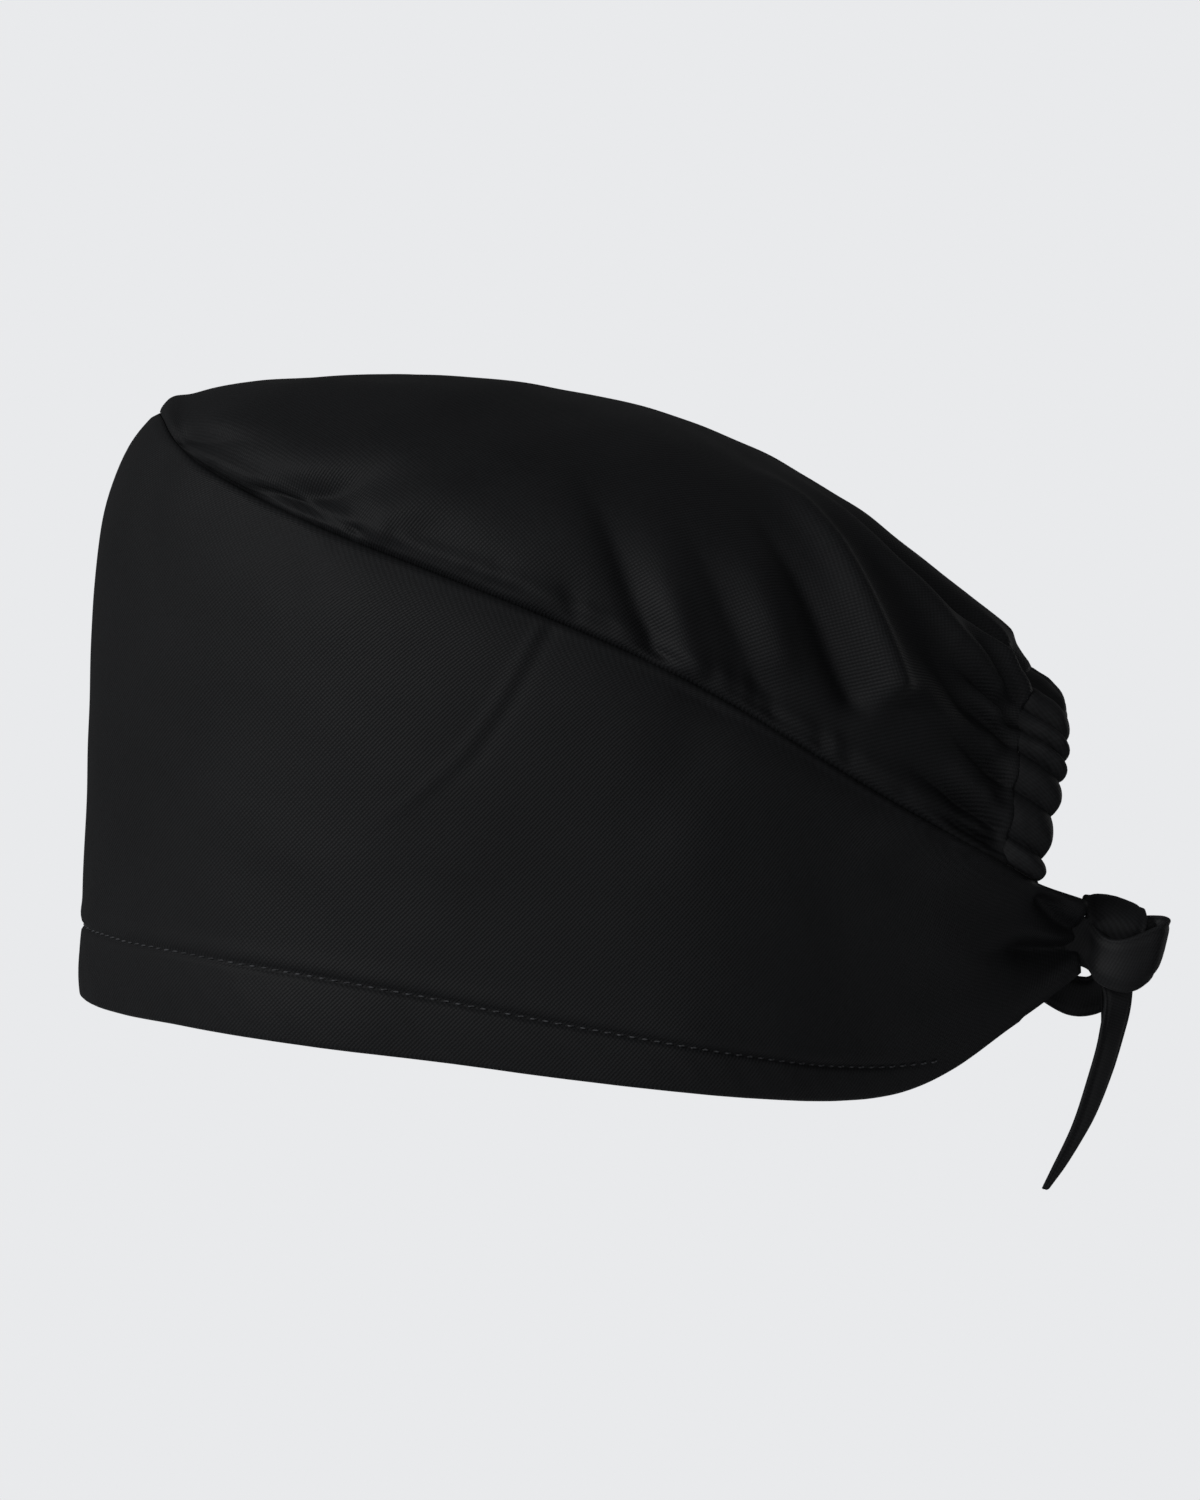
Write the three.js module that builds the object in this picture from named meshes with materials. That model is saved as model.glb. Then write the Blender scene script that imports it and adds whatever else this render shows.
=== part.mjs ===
// Tie-back scrub cap in woven cloth, shaped as it sits on a head.
// A tall side band with a turned-up hem runs round the face and the ears. A full crown is sewn into its
// top edge and gathered at the back onto a short elastic casing, which arches over an open gap. The band's
// ends taper into two flat ties, knotted below that gap, with one long end and one short end hanging.
// Millimetres, +Z up. The face looks towards -X and the wearer's left side towards -Y. The origin is on the
// inner face of the crown, where the top of the head bears against it.
import * as THREE from "three";

// Main sizes
const capLength = 242; // from the band's front to the rear end of the crown seam
const capHeight = 182; // from the lowest point of the rim to the top of the crown
const capWidth = 152; // across the rim at its widest
const headTopBack = 100; // from the band's front to the top of the head
const clothWall = 1.5; // cloth of the band and the crown, with its seam allowances
const hemWall = 1.2; // the turned-up layer of the hem
const casingThickness = 4.6; // gathered cloth folded over the elastic
const casingPuff = 2.4; // how much thinner the casing is between two gathers
const casingScallop = 0.14; // how much narrower it is there, as a share of its width
const casingLift = 1.4; // clearance between the casing's ends and the band
const casingGathers = 11; // gathers along the casing
const tieWidth = 13.5; // flat width of a tie
const knotThickness = 4; // a tie's crumpled thickness inside the knot
const knotBack = 260.5; // from the band's front to the middle of the knot
const knotDrop = 142.5; // from the top of the crown down to the middle of the knot
const sewnGap = 0.3; // clearance between neighbouring pieces
const seamGap = 0.4; // clearance between the band's top edge and the crown
const neckGap = 0.6; // clearance between the band's end and the start of its tie

// Surface steps
const bandSteps = 80;
const bandRows = 9;
const crownSteps = 32;
const crownColumns = 34;
const casingSteps = 66;
const tieSteps = 42;
const tieSides = 10;

const black = { color: 0x16171a, roughness: 0.86, metalness: 0 };

// Half of the band's two edges, from the front (station 0) towards the neck of a tie (station 1).
// along and down are shares of capLength and capHeight, out is a share of half of capWidth.
const seamEdge = [
  { station: 0.0, along: 0.08, out: 0, down: 0.048 },
  { station: 0.06, along: 0.086, out: 0.191, down: 0.056 },
  { station: 0.12, along: 0.101, out: 0.362, down: 0.084 },
  { station: 0.18, along: 0.128, out: 0.52, down: 0.113 },
  { station: 0.25, along: 0.178, out: 0.697, down: 0.149 },
  { station: 0.33, along: 0.256, out: 0.868, down: 0.196 },
  { station: 0.42, along: 0.355, out: 0.97, down: 0.246 },
  { station: 0.52, along: 0.471, out: 1.0, down: 0.306 },
  { station: 0.62, along: 0.591, out: 0.967, down: 0.375 },
  { station: 0.7, along: 0.686, out: 0.88, down: 0.443 },
  { station: 0.77, along: 0.773, out: 0.76, down: 0.516 },
  { station: 0.83, along: 0.847, out: 0.64, down: 0.577 },
  { station: 0.88, along: 0.909, out: 0.53, down: 0.625 },
  { station: 0.93, along: 0.961, out: 0.4, down: 0.664 },
  { station: 0.97, along: 0.994, out: 0.29, down: 0.692 },
];
const rimEdge = [
  { station: 0.0, along: 0.001, out: 0, down: 0.852 },
  { station: 0.06, along: 0.013, out: 0.23, down: 0.857 },
  { station: 0.12, along: 0.05, out: 0.461, down: 0.865 },
  { station: 0.18, along: 0.095, out: 0.658, down: 0.87 },
  { station: 0.25, along: 0.165, out: 0.849, down: 0.88 },
  { station: 0.33, along: 0.264, out: 0.967, down: 0.895 },
  { station: 0.42, along: 0.376, out: 1.0, down: 0.912 },
  { station: 0.52, along: 0.504, out: 0.993, down: 0.935 },
  { station: 0.62, along: 0.626, out: 0.928, down: 0.956 },
  { station: 0.7, along: 0.715, out: 0.79, down: 0.97 },
  { station: 0.77, along: 0.785, out: 0.62, down: 0.978 },
  { station: 0.83, along: 0.847, out: 0.48, down: 0.972 },
  { station: 0.88, along: 0.901, out: 0.37, down: 0.943 },
  { station: 0.93, along: 0.955, out: 0.275, down: 0.893 },
  { station: 0.97, along: 0.998, out: 0.21, down: 0.857 },
];
// Where each edge ends, as the band is drawn together into a tie. The right end runs lower than the left.
const leftNeck = {
  seam: { station: 1, along: 1.022, out: 0.21, down: 0.701 },
  rim: { station: 1, along: 1.018, out: 0.18, down: 0.826 },
};
const rightNeck = {
  seam: { station: 1, along: 1.014, out: 0.19, down: 0.815 },
  rim: { station: 1, along: 1.014, out: 0.17, down: 0.869 },
};

// How far the band stands out of the straight line from rim to seam, as a share of capHeight, and how high
// the hem's stitch line lies, as a share of the band's height at that station.
const bandShape = [
  { station: 0.0, swell: 0.076, hem: 0.123 },
  { station: 0.12, swell: 0.066, hem: 0.129 },
  { station: 0.25, swell: 0.045, hem: 0.134 },
  { station: 0.33, swell: 0.036, hem: 0.135 },
  { station: 0.52, swell: 0.03, hem: 0.118 },
  { station: 0.7, swell: 0.028, hem: 0.105 },
  { station: 0.83, swell: 0.022, hem: 0.099 },
  { station: 0.88, swell: 0.016, hem: 0.066 },
  { station: 0.93, swell: 0.01, hem: 0.03 },
  { station: 1.0, swell: 0, hem: 0.02 },
];

// The crown's middle line, from the front seam (run 0) to the casing (run 1), and how square its arch is.
const crownLine = [
  { run: 0.0, along: 0.08, down: 0.048, fullness: 2.0 },
  { run: 0.074, along: 0.111, down: 0.028, fullness: 2.0 },
  { run: 0.16, along: 0.15, down: 0.012, fullness: 2.05 },
  { run: 0.26, along: 0.215, down: 0.001, fullness: 2.1 },
  { run: 0.37, along: 0.315, down: -0.004, fullness: 2.2 },
  { run: 0.494, along: 0.44, down: 0.005, fullness: 2.25 },
  { run: 0.617, along: 0.575, down: 0.042, fullness: 2.25 },
  { run: 0.716, along: 0.69, down: 0.098, fullness: 2.2 },
  { run: 0.8, along: 0.785, down: 0.166, fullness: 2.15 },
  { run: 0.877, along: 0.862, down: 0.238, fullness: 2.1 },
  { run: 0.938, along: 0.928, down: 0.306, fullness: 2.1 },
  { run: 0.97, along: 0.96, down: 0.348, fullness: 2.1 },
  { run: 1.0, along: 0.986, down: 0.398, fullness: 2.1 },
];
const hemEndStation = 0.85; // the hem's turned-up layer ends here, before the neck
const frontStation = 0.125; // the crown's front edge spans the seam up to this station
const frontReach = 0.2; // the run over which the crown's arches take the front edge's line
const casingStation = 0.925; // the casing starts here along the seam
const casingEndStation = 0.965; // and ends here

// The casing's free edge, behind the stitch line, from its middle (side 0) to its end (side 1).
const casingEdge = [
  { side: 0.0, along: 1.0135, down: 0.46 },
  { side: 0.35, along: 1.016, down: 0.49 },
  { side: 0.7, along: 1.006, down: 0.578 },
  { side: 1.0, along: 0.99, down: 0.688 },
];
const casingNarrowing = 0.76; // the free edge's half width, as a share of the stitch line's

// Folds of the crown: from one end to the other in run and side (0 is the middle line, 1 is the seam).
// deep and wide are shares of capHeight. A fold below 0 is a valley.
const crownFolds = [
  { runFrom: 0.1, sideFrom: 0.86, runTo: 0.27, sideTo: 0.66, deep: -0.009, wide: 0.022 },
  { runFrom: 0.3, sideFrom: 0.98, runTo: 0.42, sideTo: 0.55, deep: -0.011, wide: 0.035 },
  { runFrom: 0.56, sideFrom: 0.96, runTo: 0.52, sideTo: 0.5, deep: -0.013, wide: 0.05 },
  { runFrom: 0.63, sideFrom: 0.93, runTo: 0.62, sideTo: 0.5, deep: 0.009, wide: 0.035 },
  { runFrom: 0.71, sideFrom: 0.9, runTo: 0.64, sideTo: 0.42, deep: -0.011, wide: 0.035 },
  { runFrom: 0.86, sideFrom: 0.8, runTo: 0.7, sideTo: 0.38, deep: 0.014, wide: 0.045 },
  { runFrom: 1.0, sideFrom: 0.78, runTo: 0.72, sideTo: 0.62, deep: -0.012, wide: 0.035 },
  { runFrom: 1.0, sideFrom: 0.66, runTo: 0.8, sideTo: 0.62, deep: 0.012, wide: 0.024 },
  { runFrom: 1.0, sideFrom: 0.52, runTo: 0.78, sideTo: 0.46, deep: -0.014, wide: 0.026 },
  { runFrom: 1.0, sideFrom: 0.32, runTo: 0.66, sideTo: 0.26, deep: 0.016, wide: 0.034 },
  { runFrom: 1.0, sideFrom: 0.0, runTo: 0.68, sideTo: 0.0, deep: -0.02, wide: 0.045 },
];

// Pleats of the band where it is drawn into the neck: station and height share at both ends.
const neckPleats = [
  { stationFrom: 1.0, heightFrom: 0.72, stationTo: 0.965, heightTo: 0.86, deep: -0.012, wide: 0.014 },
  { stationFrom: 1.0, heightFrom: 0.26, stationTo: 0.875, heightTo: 0.5, deep: -0.018, wide: 0.032 },
  { stationFrom: 1.0, heightFrom: 0.5, stationTo: 0.93, heightTo: 0.72, deep: 0.01, wide: 0.022 },
];

// The ties' routes from the neck through the knot to the free end. along and up are shares of tieWidth from
// the middle of the knot, and layer counts knot layers towards the wearer's right. tilt is the angle of the
// width from upright towards the back, yaw turns the width out of the side view, and wide and thick are
// shares of tieWidth and knotThickness.
const leftTie = [
  { along: -0.78, up: 0.33, layer: -3.15, tilt: 4, yaw: 0, wide: 1.2, thick: 0.75 },
  { along: -0.59, up: 0.12, layer: -3.1, tilt: 4, yaw: 0, wide: 0.96, thick: 0.85 },
  { along: -0.35, up: -0.19, layer: -3.1, tilt: 8, yaw: 0, wide: 0.84, thick: 0.95 },
  { along: -0.04, up: -0.26, layer: -3.15, tilt: 5, yaw: 0, wide: 0.97, thick: 0.9 },
  { along: 0.3, up: -0.19, layer: -3.1, tilt: 9, yaw: 0, wide: 1.1, thick: 0.8 },
  { along: 0.58, up: -0.07, layer: -2.85, tilt: 16, yaw: 0, wide: 1.12, thick: 0.6 },
  { along: 0.7, up: 0.03, layer: -2, tilt: 20, yaw: 0, wide: 1.06, thick: 0.5 },
  { along: 0.55, up: 0.14, layer: -1.05, tilt: 18, yaw: 0, wide: 0.92, thick: 0.7 },
  { along: 0.22, up: 0.12, layer: -0.95, tilt: -8, yaw: 0, wide: 0.8, thick: 0.8 },
  { along: -0.06, up: -0.25, layer: -0.9, tilt: -52, yaw: 0, wide: 0.7, thick: 0.75 },
  { along: -0.12, up: -0.85, layer: -0.5, tilt: -82, yaw: 0, wide: 0.54, thick: 0.6 },
  { along: -0.16, up: -1.45, layer: 0.1, tilt: -92, yaw: -30, wide: 0.5, thick: 0.5 },
  { along: -0.32, up: -2.1, layer: 0.3, tilt: -100, yaw: -40, wide: 0.36, thick: 0.45 },
];
const rightTie = [
  { along: -0.82, up: -0.92, layer: 2.8, tilt: 2, yaw: 0, wide: 0.64, thick: 0.8 },
  { along: -0.46, up: -0.93, layer: 2.6, tilt: -18, yaw: 0, wide: 0.64, thick: 0.85 },
  { along: -0.18, up: -0.7, layer: 1.9, tilt: -52, yaw: 0, wide: 0.68, thick: 0.85 },
  { along: -0.05, up: -0.3, layer: 0.9, tilt: -78, yaw: 0, wide: 0.74, thick: 0.85 },
  { along: 0.0, up: 0.1, layer: 0.35, tilt: -88, yaw: 0, wide: 0.82, thick: 0.85 },
  { along: -0.03, up: 0.5, layer: 0.05, tilt: -84, yaw: 0, wide: 0.88, thick: 0.9 },
  { along: -0.1, up: 0.79, layer: -0.95, tilt: -78, yaw: 0, wide: 0.8, thick: 1.05 },
  { along: -0.1, up: 0.5, layer: -2.02, tilt: -84, yaw: 0, wide: 0.98, thick: 0.9 },
  { along: -0.14, up: 0.02, layer: -2.05, tilt: -90, yaw: 0, wide: 0.76, thick: 0.8 },
  { along: -0.12, up: -0.5, layer: -2.05, tilt: -92, yaw: 0, wide: 0.62, thick: 0.8 },
  { along: -0.1, up: -0.94, layer: -1.95, tilt: -95, yaw: -24, wide: 0.56, thick: 0.7 },
  { along: -0.22, up: -1.6, layer: -1.85, tilt: -100, yaw: -46, wide: 0.7, thick: 0.55 },
  { along: -0.44, up: -2.4, layer: -1.7, tilt: -105, yaw: -50, wide: 0.74, thick: 0.55 },
  { along: -0.74, up: -3.25, layer: -1.6, tilt: -110, yaw: -48, wide: 0.62, thick: 0.55 },
  { along: -1.13, up: -4.0, layer: -1.5, tilt: -116, yaw: -40, wide: 0.4, thick: 0.5 },
  { along: -1.41, up: -4.46, layer: -1.4, tilt: -120, yaw: -30, wide: 0.14, thick: 0.4 },
];

const within = (value, low, high) => Math.min(high, Math.max(low, value));

// Rises softly from 0 to 1.
const smooth = (x) => {
  const held = within(x, 0, 1);
  return held * held * (3 - 2 * held);
};

// Reads a column between the rows of a table with a smooth curve through them. In a mirrored table, which
// goes on below key 0, a column that starts at 0 crosses it there, and any other column is level there.
function readColumn(rows, key, column, at, mirrored = false) {
  const last = rows.length - 1;
  let i = 0;
  while (i < last - 1 && at > rows[i + 1][key]) i += 1;
  const slope = (j) => {
    if (j === 0 && mirrored) {
      return rows[0][column] === 0 ? rows[1][column] / rows[1][key] : 0;
    }
    const before = rows[Math.max(j - 1, 0)];
    const after = rows[Math.min(j + 1, last)];
    return (after[column] - before[column]) / (after[key] - before[key]);
  };
  const span = rows[i + 1][key] - rows[i][key];
  const u = (at - rows[i][key]) / span;
  const from = rows[i][column];
  const to = rows[i + 1][column];
  return (
    from * (1 + 2 * u) * (1 - u) ** 2 +
    to * u * u * (3 - 2 * u) +
    slope(i) * span * u * (1 - u) ** 2 -
    slope(i + 1) * span * u * u * (1 - u)
  );
}

// Places a point given as shares of the cap's length, half width and height.
const headTopRun = 0.455; // where the middle line passes the top of the head
const topAboveHead = readColumn(crownLine, "run", "down", headTopRun) * capHeight;
const place = (along, out, down) =>
  new THREE.Vector3(
    along * capLength - headTopBack,
    (out * capWidth) / 2,
    clothWall + topAboveHead - down * capHeight,
  );

// Points on the edges of the band. A station below 0 is on the wearer's left.
function edgePoint(station, edge, leftEnd, rightEnd) {
  const rows = edge.concat(station < 0 ? leftEnd : rightEnd);
  const at = Math.abs(station);
  const column = (name) => readColumn(rows, "station", name, at, true);
  const side = station < 0 ? -1 : 1;
  return place(column("along"), side * column("out"), column("down"));
}

const rimPoint = (station) => edgePoint(station, rimEdge, leftNeck.rim, rightNeck.rim);
const seamPoint = (station) => edgePoint(station, seamEdge, leftNeck.seam, rightNeck.seam);

const directionStep = 0.01; // of station

// Level direction that points out of the band.
function outward(station) {
  const from = Math.max(station - directionStep, -1);
  const to = Math.min(station + directionStep, 1);
  const along = rimPoint(to).add(seamPoint(to)).sub(rimPoint(from)).sub(seamPoint(from));
  return new THREE.Vector3(-along.y, along.x, 0).normalize();
}

// Adds up folds, each a soft ridge or valley round a straight line between two points of a surface.
const foldFade = 0.9; // how far a fold has faded at the end of its line
function foldHeight(point, folds) {
  let height = 0;
  for (const fold of folds) {
    const line = fold.to.clone().sub(fold.from);
    const share = point.clone().sub(fold.from).dot(line) / line.lengthSq();
    const held = within(share, 0, 1);
    const away = point.distanceTo(fold.from.clone().addScaledVector(line, held)) / fold.wide;
    height += fold.deep * Math.exp(-away * away) * (1 - smooth(held * foldFade));
  }
  return height;
}

// How the band's swell rises from the rim and turns in again under the seam.
const swellRise = 0.9;
const swellTurn = 9;

// The band without its pleats. height runs from 0 at the rim to 1 at the seam.
function bandBase(station, height) {
  const swell = readColumn(bandShape, "station", "swell", Math.abs(station), true) * capHeight;
  const profile = height ** swellRise * (1 - height ** swellTurn);
  return rimPoint(station)
    .lerp(seamPoint(station), height)
    .addScaledVector(outward(station), swell * profile);
}

function foldsOn(rows, from, to) {
  const sides = [-1, 1];
  return sides.flatMap((side) =>
    rows.map((row) => ({
      from: from(row, side),
      to: to(row, side),
      deep: row.deep * capHeight,
      wide: row.wide * capHeight,
    })),
  );
}

const pleats = foldsOn(
  neckPleats,
  (row, side) => bandBase(side * row.stationFrom, row.heightFrom),
  (row, side) => bandBase(side * row.stationTo, row.heightTo),
);

function bandPoint(station, height) {
  const base = bandBase(station, height);
  return base.addScaledVector(outward(station), foldHeight(base, pleats));
}

// The crown without its folds. run goes from the front seam to the casing, side from -1 (the wearer's left
// seam) over the top to 1.
const seamStation = (run) => frontStation + (casingStation - frontStation) * run;

function crownArch(run, side) {
  const end = seamPoint(seamStation(run));
  const column = (name) => readColumn(crownLine, "run", name, run);
  const top = place(column("along"), 0, column("down"));
  const angle = (side * Math.PI) / 2;
  const power = 2 / column("fullness");
  const across = Math.sign(side) * Math.abs(Math.sin(angle)) ** power;
  const up = Math.max(Math.cos(angle), 0) ** power;
  return new THREE.Vector3(
    end.x + (top.x - end.x) * up,
    end.y * across,
    end.z + (top.z - end.z) * up,
  );
}

// The first arch is moved onto the front of the seam, and those behind it follow less and less.
function crownBase(run, side) {
  const offset = seamPoint(side * frontStation).sub(crownArch(0, side));
  return crownArch(run, side).addScaledVector(offset, 1 - smooth(run / frontReach));
}

// Direction square to a surface, from its two parameters, which keep this far away from its edges.
const surfaceStep = 0.004;
function squareTo(surface, u, v) {
  const du = surface(u + surfaceStep, v).sub(surface(u - surfaceStep, v));
  const dv = surface(u, v + surfaceStep).sub(surface(u, v - surfaceStep));
  return du.cross(dv).normalize();
}

const crownFrontMargin = 0.04; // the first arches are too close together to give a direction
const crownRearMargin = 0.005;
const crownSideMargin = 0.015;
const crownOut = (run, side) =>
  squareTo(
    crownBase,
    within(run, crownFrontMargin, 1 - crownRearMargin),
    within(side, crownSideMargin - 1, 1 - crownSideMargin),
  );

const creases = foldsOn(
  crownFolds,
  (row, side) => crownBase(row.runFrom, side * row.sideFrom),
  (row, side) => crownBase(row.runTo, side * row.sideTo),
);

// The folds rise over these shares of side and run, from nothing at the seam.
const foldFreeSide = 0.08;
const foldFreeRun = 0.06;

function crownPoint(run, side) {
  const base = crownBase(run, side);
  const fromSeam = smooth((1 - Math.abs(side)) / foldFreeSide) * smooth(run / foldFreeRun);
  return base.addScaledVector(crownOut(run, side), foldHeight(base, creases) * fromSeam);
}

// Closes two grids of points, the outer and the inner face of a wall, into one solid.
function wallBetween(outer, inner) {
  const rows = outer.length;
  const columns = outer[0].length;
  const last = columns - 1;
  const positions = [];
  [outer, inner].forEach((grid) => grid.flat().forEach((p) => positions.push(p.x, p.y, p.z)));
  const outerAt = (i, j) => i * columns + j;
  const innerAt = (i, j) => rows * columns + i * columns + j;
  const index = [];
  const quad = (a, b, c, d) => index.push(a, b, c, a, c, d);
  for (let i = 0; i < rows - 1; i += 1) {
    for (let j = 0; j < columns - 1; j += 1) {
      quad(outerAt(i, j), outerAt(i + 1, j), outerAt(i + 1, j + 1), outerAt(i, j + 1));
      quad(innerAt(i, j), innerAt(i, j + 1), innerAt(i + 1, j + 1), innerAt(i + 1, j));
    }
    quad(outerAt(i, 0), innerAt(i, 0), innerAt(i + 1, 0), outerAt(i + 1, 0));
    quad(outerAt(i + 1, last), innerAt(i + 1, last), innerAt(i, last), outerAt(i, last));
  }
  for (let j = 0; j < columns - 1; j += 1) {
    quad(outerAt(0, j + 1), innerAt(0, j + 1), innerAt(0, j), outerAt(0, j));
    quad(outerAt(rows - 1, j), innerAt(rows - 1, j), innerAt(rows - 1, j + 1), outerAt(rows - 1, j + 1));
  }
  return closedGeometry(positions, index);
}

// Closes a row of rings, all with the same number of points, into one solid with a fan at each end.
function loftRings(rings) {
  const sides = rings[0].length;
  const positions = rings.flat().flatMap((p) => [p.x, p.y, p.z]);
  const index = [];
  for (let i = 0; i < rings.length - 1; i += 1) {
    for (let j = 0; j < sides; j += 1) {
      const next = (j + 1) % sides;
      const a = i * sides;
      const b = (i + 1) * sides;
      index.push(a + j, b + j, b + next, a + j, b + next, a + next);
    }
  }
  const lastRing = (rings.length - 1) * sides;
  for (let j = 1; j < sides - 1; j += 1) {
    index.push(0, j, j + 1);
    index.push(lastRing, lastRing + j + 1, lastRing + j);
  }
  return closedGeometry(positions, index);
}

// A solid's faces have to point outwards, so they are turned round if its volume comes out negative.
function closedGeometry(positions, index) {
  const at = (i) => new THREE.Vector3().fromArray(positions, index[i] * 3);
  let volume = 0;
  for (let i = 0; i < index.length; i += 3) {
    volume += at(i).dot(at(i + 1).cross(at(i + 2)));
  }
  if (volume < 0) {
    for (let i = 0; i < index.length; i += 3) {
      [index[i + 1], index[i + 2]] = [index[i + 2], index[i + 1]];
    }
  }
  const geometry = new THREE.BufferGeometry();
  geometry.setAttribute("position", new THREE.Float32BufferAttribute(positions, 3));
  geometry.setIndex(index);
  geometry.computeVertexNormals();
  return geometry;
}

const steps = (count, from = 0, to = 1) =>
  Array.from({ length: count + 1 }, (_, i) => from + ((to - from) * i) / count);

// Direction square to the band's outer face, and the one shared with the crown where they meet at the seam.
const bandMargin = 0.005;
const bandOut = (station, height) =>
  squareTo(
    bandPoint,
    within(station, bandMargin - 1, 1 - bandMargin),
    within(height, bandMargin, 1 - bandMargin),
  ).negate();

function seamOut(station) {
  const side = Math.sign(station);
  const run = (Math.abs(station) - frontStation) / (casingStation - frontStation);
  const onFront = run < 0;
  const crownDirection = crownOut(onFront ? 0 : Math.min(run, 1), onFront ? station / frontStation : side);
  const bandDirection = bandOut(station, 1);
  return crownDirection.add(bandDirection).normalize();
}

function sideBand() {
  const top = (station) => {
    const reach = seamPoint(station).distanceTo(rimPoint(station));
    return 1 - seamGap / reach;
  };
  const stations = steps(bandSteps, -1, 1);
  const outer = stations.map((station) =>
    steps(bandRows).map((share) => bandPoint(station, share * top(station))),
  );
  const inner = stations.map((station, i) =>
    steps(bandRows).map((share, j) => {
      const direction = share === 1 ? seamOut(station) : bandOut(station, share);
      return outer[i][j].clone().addScaledVector(direction, -clothWall);
    }),
  );
  return wallBetween(outer, inner);
}

// The hem's turned-up layer, inside the band and a clearance away from it.
function hemFold() {
  const stations = steps(bandSteps, -1, 1).filter((station) => Math.abs(station) <= hemEndStation);
  const face = (depth) =>
    stations.map((station) => {
      const high = readColumn(bandShape, "station", "hem", Math.abs(station), true);
      return steps(2).map((share) =>
        bandPoint(station, share * high).addScaledVector(bandOut(station, share * high), -depth),
      );
    });
  const start = clothWall + sewnGap;
  return wallBetween(face(start), face(start + hemWall));
}

function crown() {
  const runs = steps(crownSteps);
  const sides = steps(crownColumns, -1, 1);
  const outer = runs.map((run) => sides.map((side) => crownPoint(run, side)));
  const inner = runs.map((run, i) =>
    sides.map((side, j) => {
      const onFront = run === 0;
      const onSeam = Math.abs(side) === 1;
      const station = onFront ? side * frontStation : Math.sign(side) * seamStation(run);
      const direction = onFront || onSeam ? seamOut(station) : crownOut(run, side);
      return outer[i][j].clone().addScaledVector(direction, -clothWall);
    }),
  );
  return wallBetween(outer, inner);
}

const insideHead = place(0.45, 0, 0.6); // a point well inside the hollow, for telling in from out
const casingSample = 0.02; // of side, for the direction along the casing
const casingEndSample = 0.1; // of side, for measuring casingLift at its ends

function backCasing() {
  const edge = (side) => {
    const at = Math.abs(side);
    const stitch = crownPoint(1, side);
    const end = seamPoint(Math.sign(side) * casingEndStation);
    const free = place(
      readColumn(casingEdge, "side", "along", at),
      0,
      readColumn(casingEdge, "side", "down", at),
    );
    free.y = at === 1 ? end.y : stitch.y * casingNarrowing;
    return { stitch, free };
  };
  const endReach = edge(1).stitch.distanceTo(edge(1 - casingEndSample).stitch);
  const endSide = 1 - (casingEndSample * casingLift) / endReach;
  const rings = steps(casingSteps, -endSide, endSide).map((side) => {
    const { stitch, free } = edge(side);
    const gather = Math.abs(Math.sin((side * casingGathers * Math.PI) / 2));
    const across = free.clone().sub(stitch);
    const depth = (across.length() / 2) * (1 - casingScallop * (1 - gather));
    across.normalize();
    const after = edge(Math.min(side + casingSample, 1)).stitch;
    const along = after.sub(edge(Math.max(side - casingSample, -1)).stitch);
    const out = along.cross(across).normalize();
    if (out.dot(stitch.clone().sub(insideHead)) < 0) out.negate();
    const middle = stitch.clone().addScaledVector(across, depth + sewnGap);
    return steps(tieSides - 1, 0, 2 * Math.PI * (1 - 1 / tieSides)).map((angle) =>
      middle
        .clone()
        .addScaledVector(across, -depth * Math.cos(angle))
        .addScaledVector(
          out,
          (Math.sin(angle) * (casingThickness - casingPuff * (1 - gather))) / 2 - clothWall / 2,
        ),
    );
  });
  return loftRings(rings);
}

// A rounded value from -1 to 1: a power below 1 makes the strap's section squarer than an ellipse.
const strapPower = 0.75;
const squared = (value) => Math.sign(value) * Math.abs(value) ** strapPower;

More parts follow.
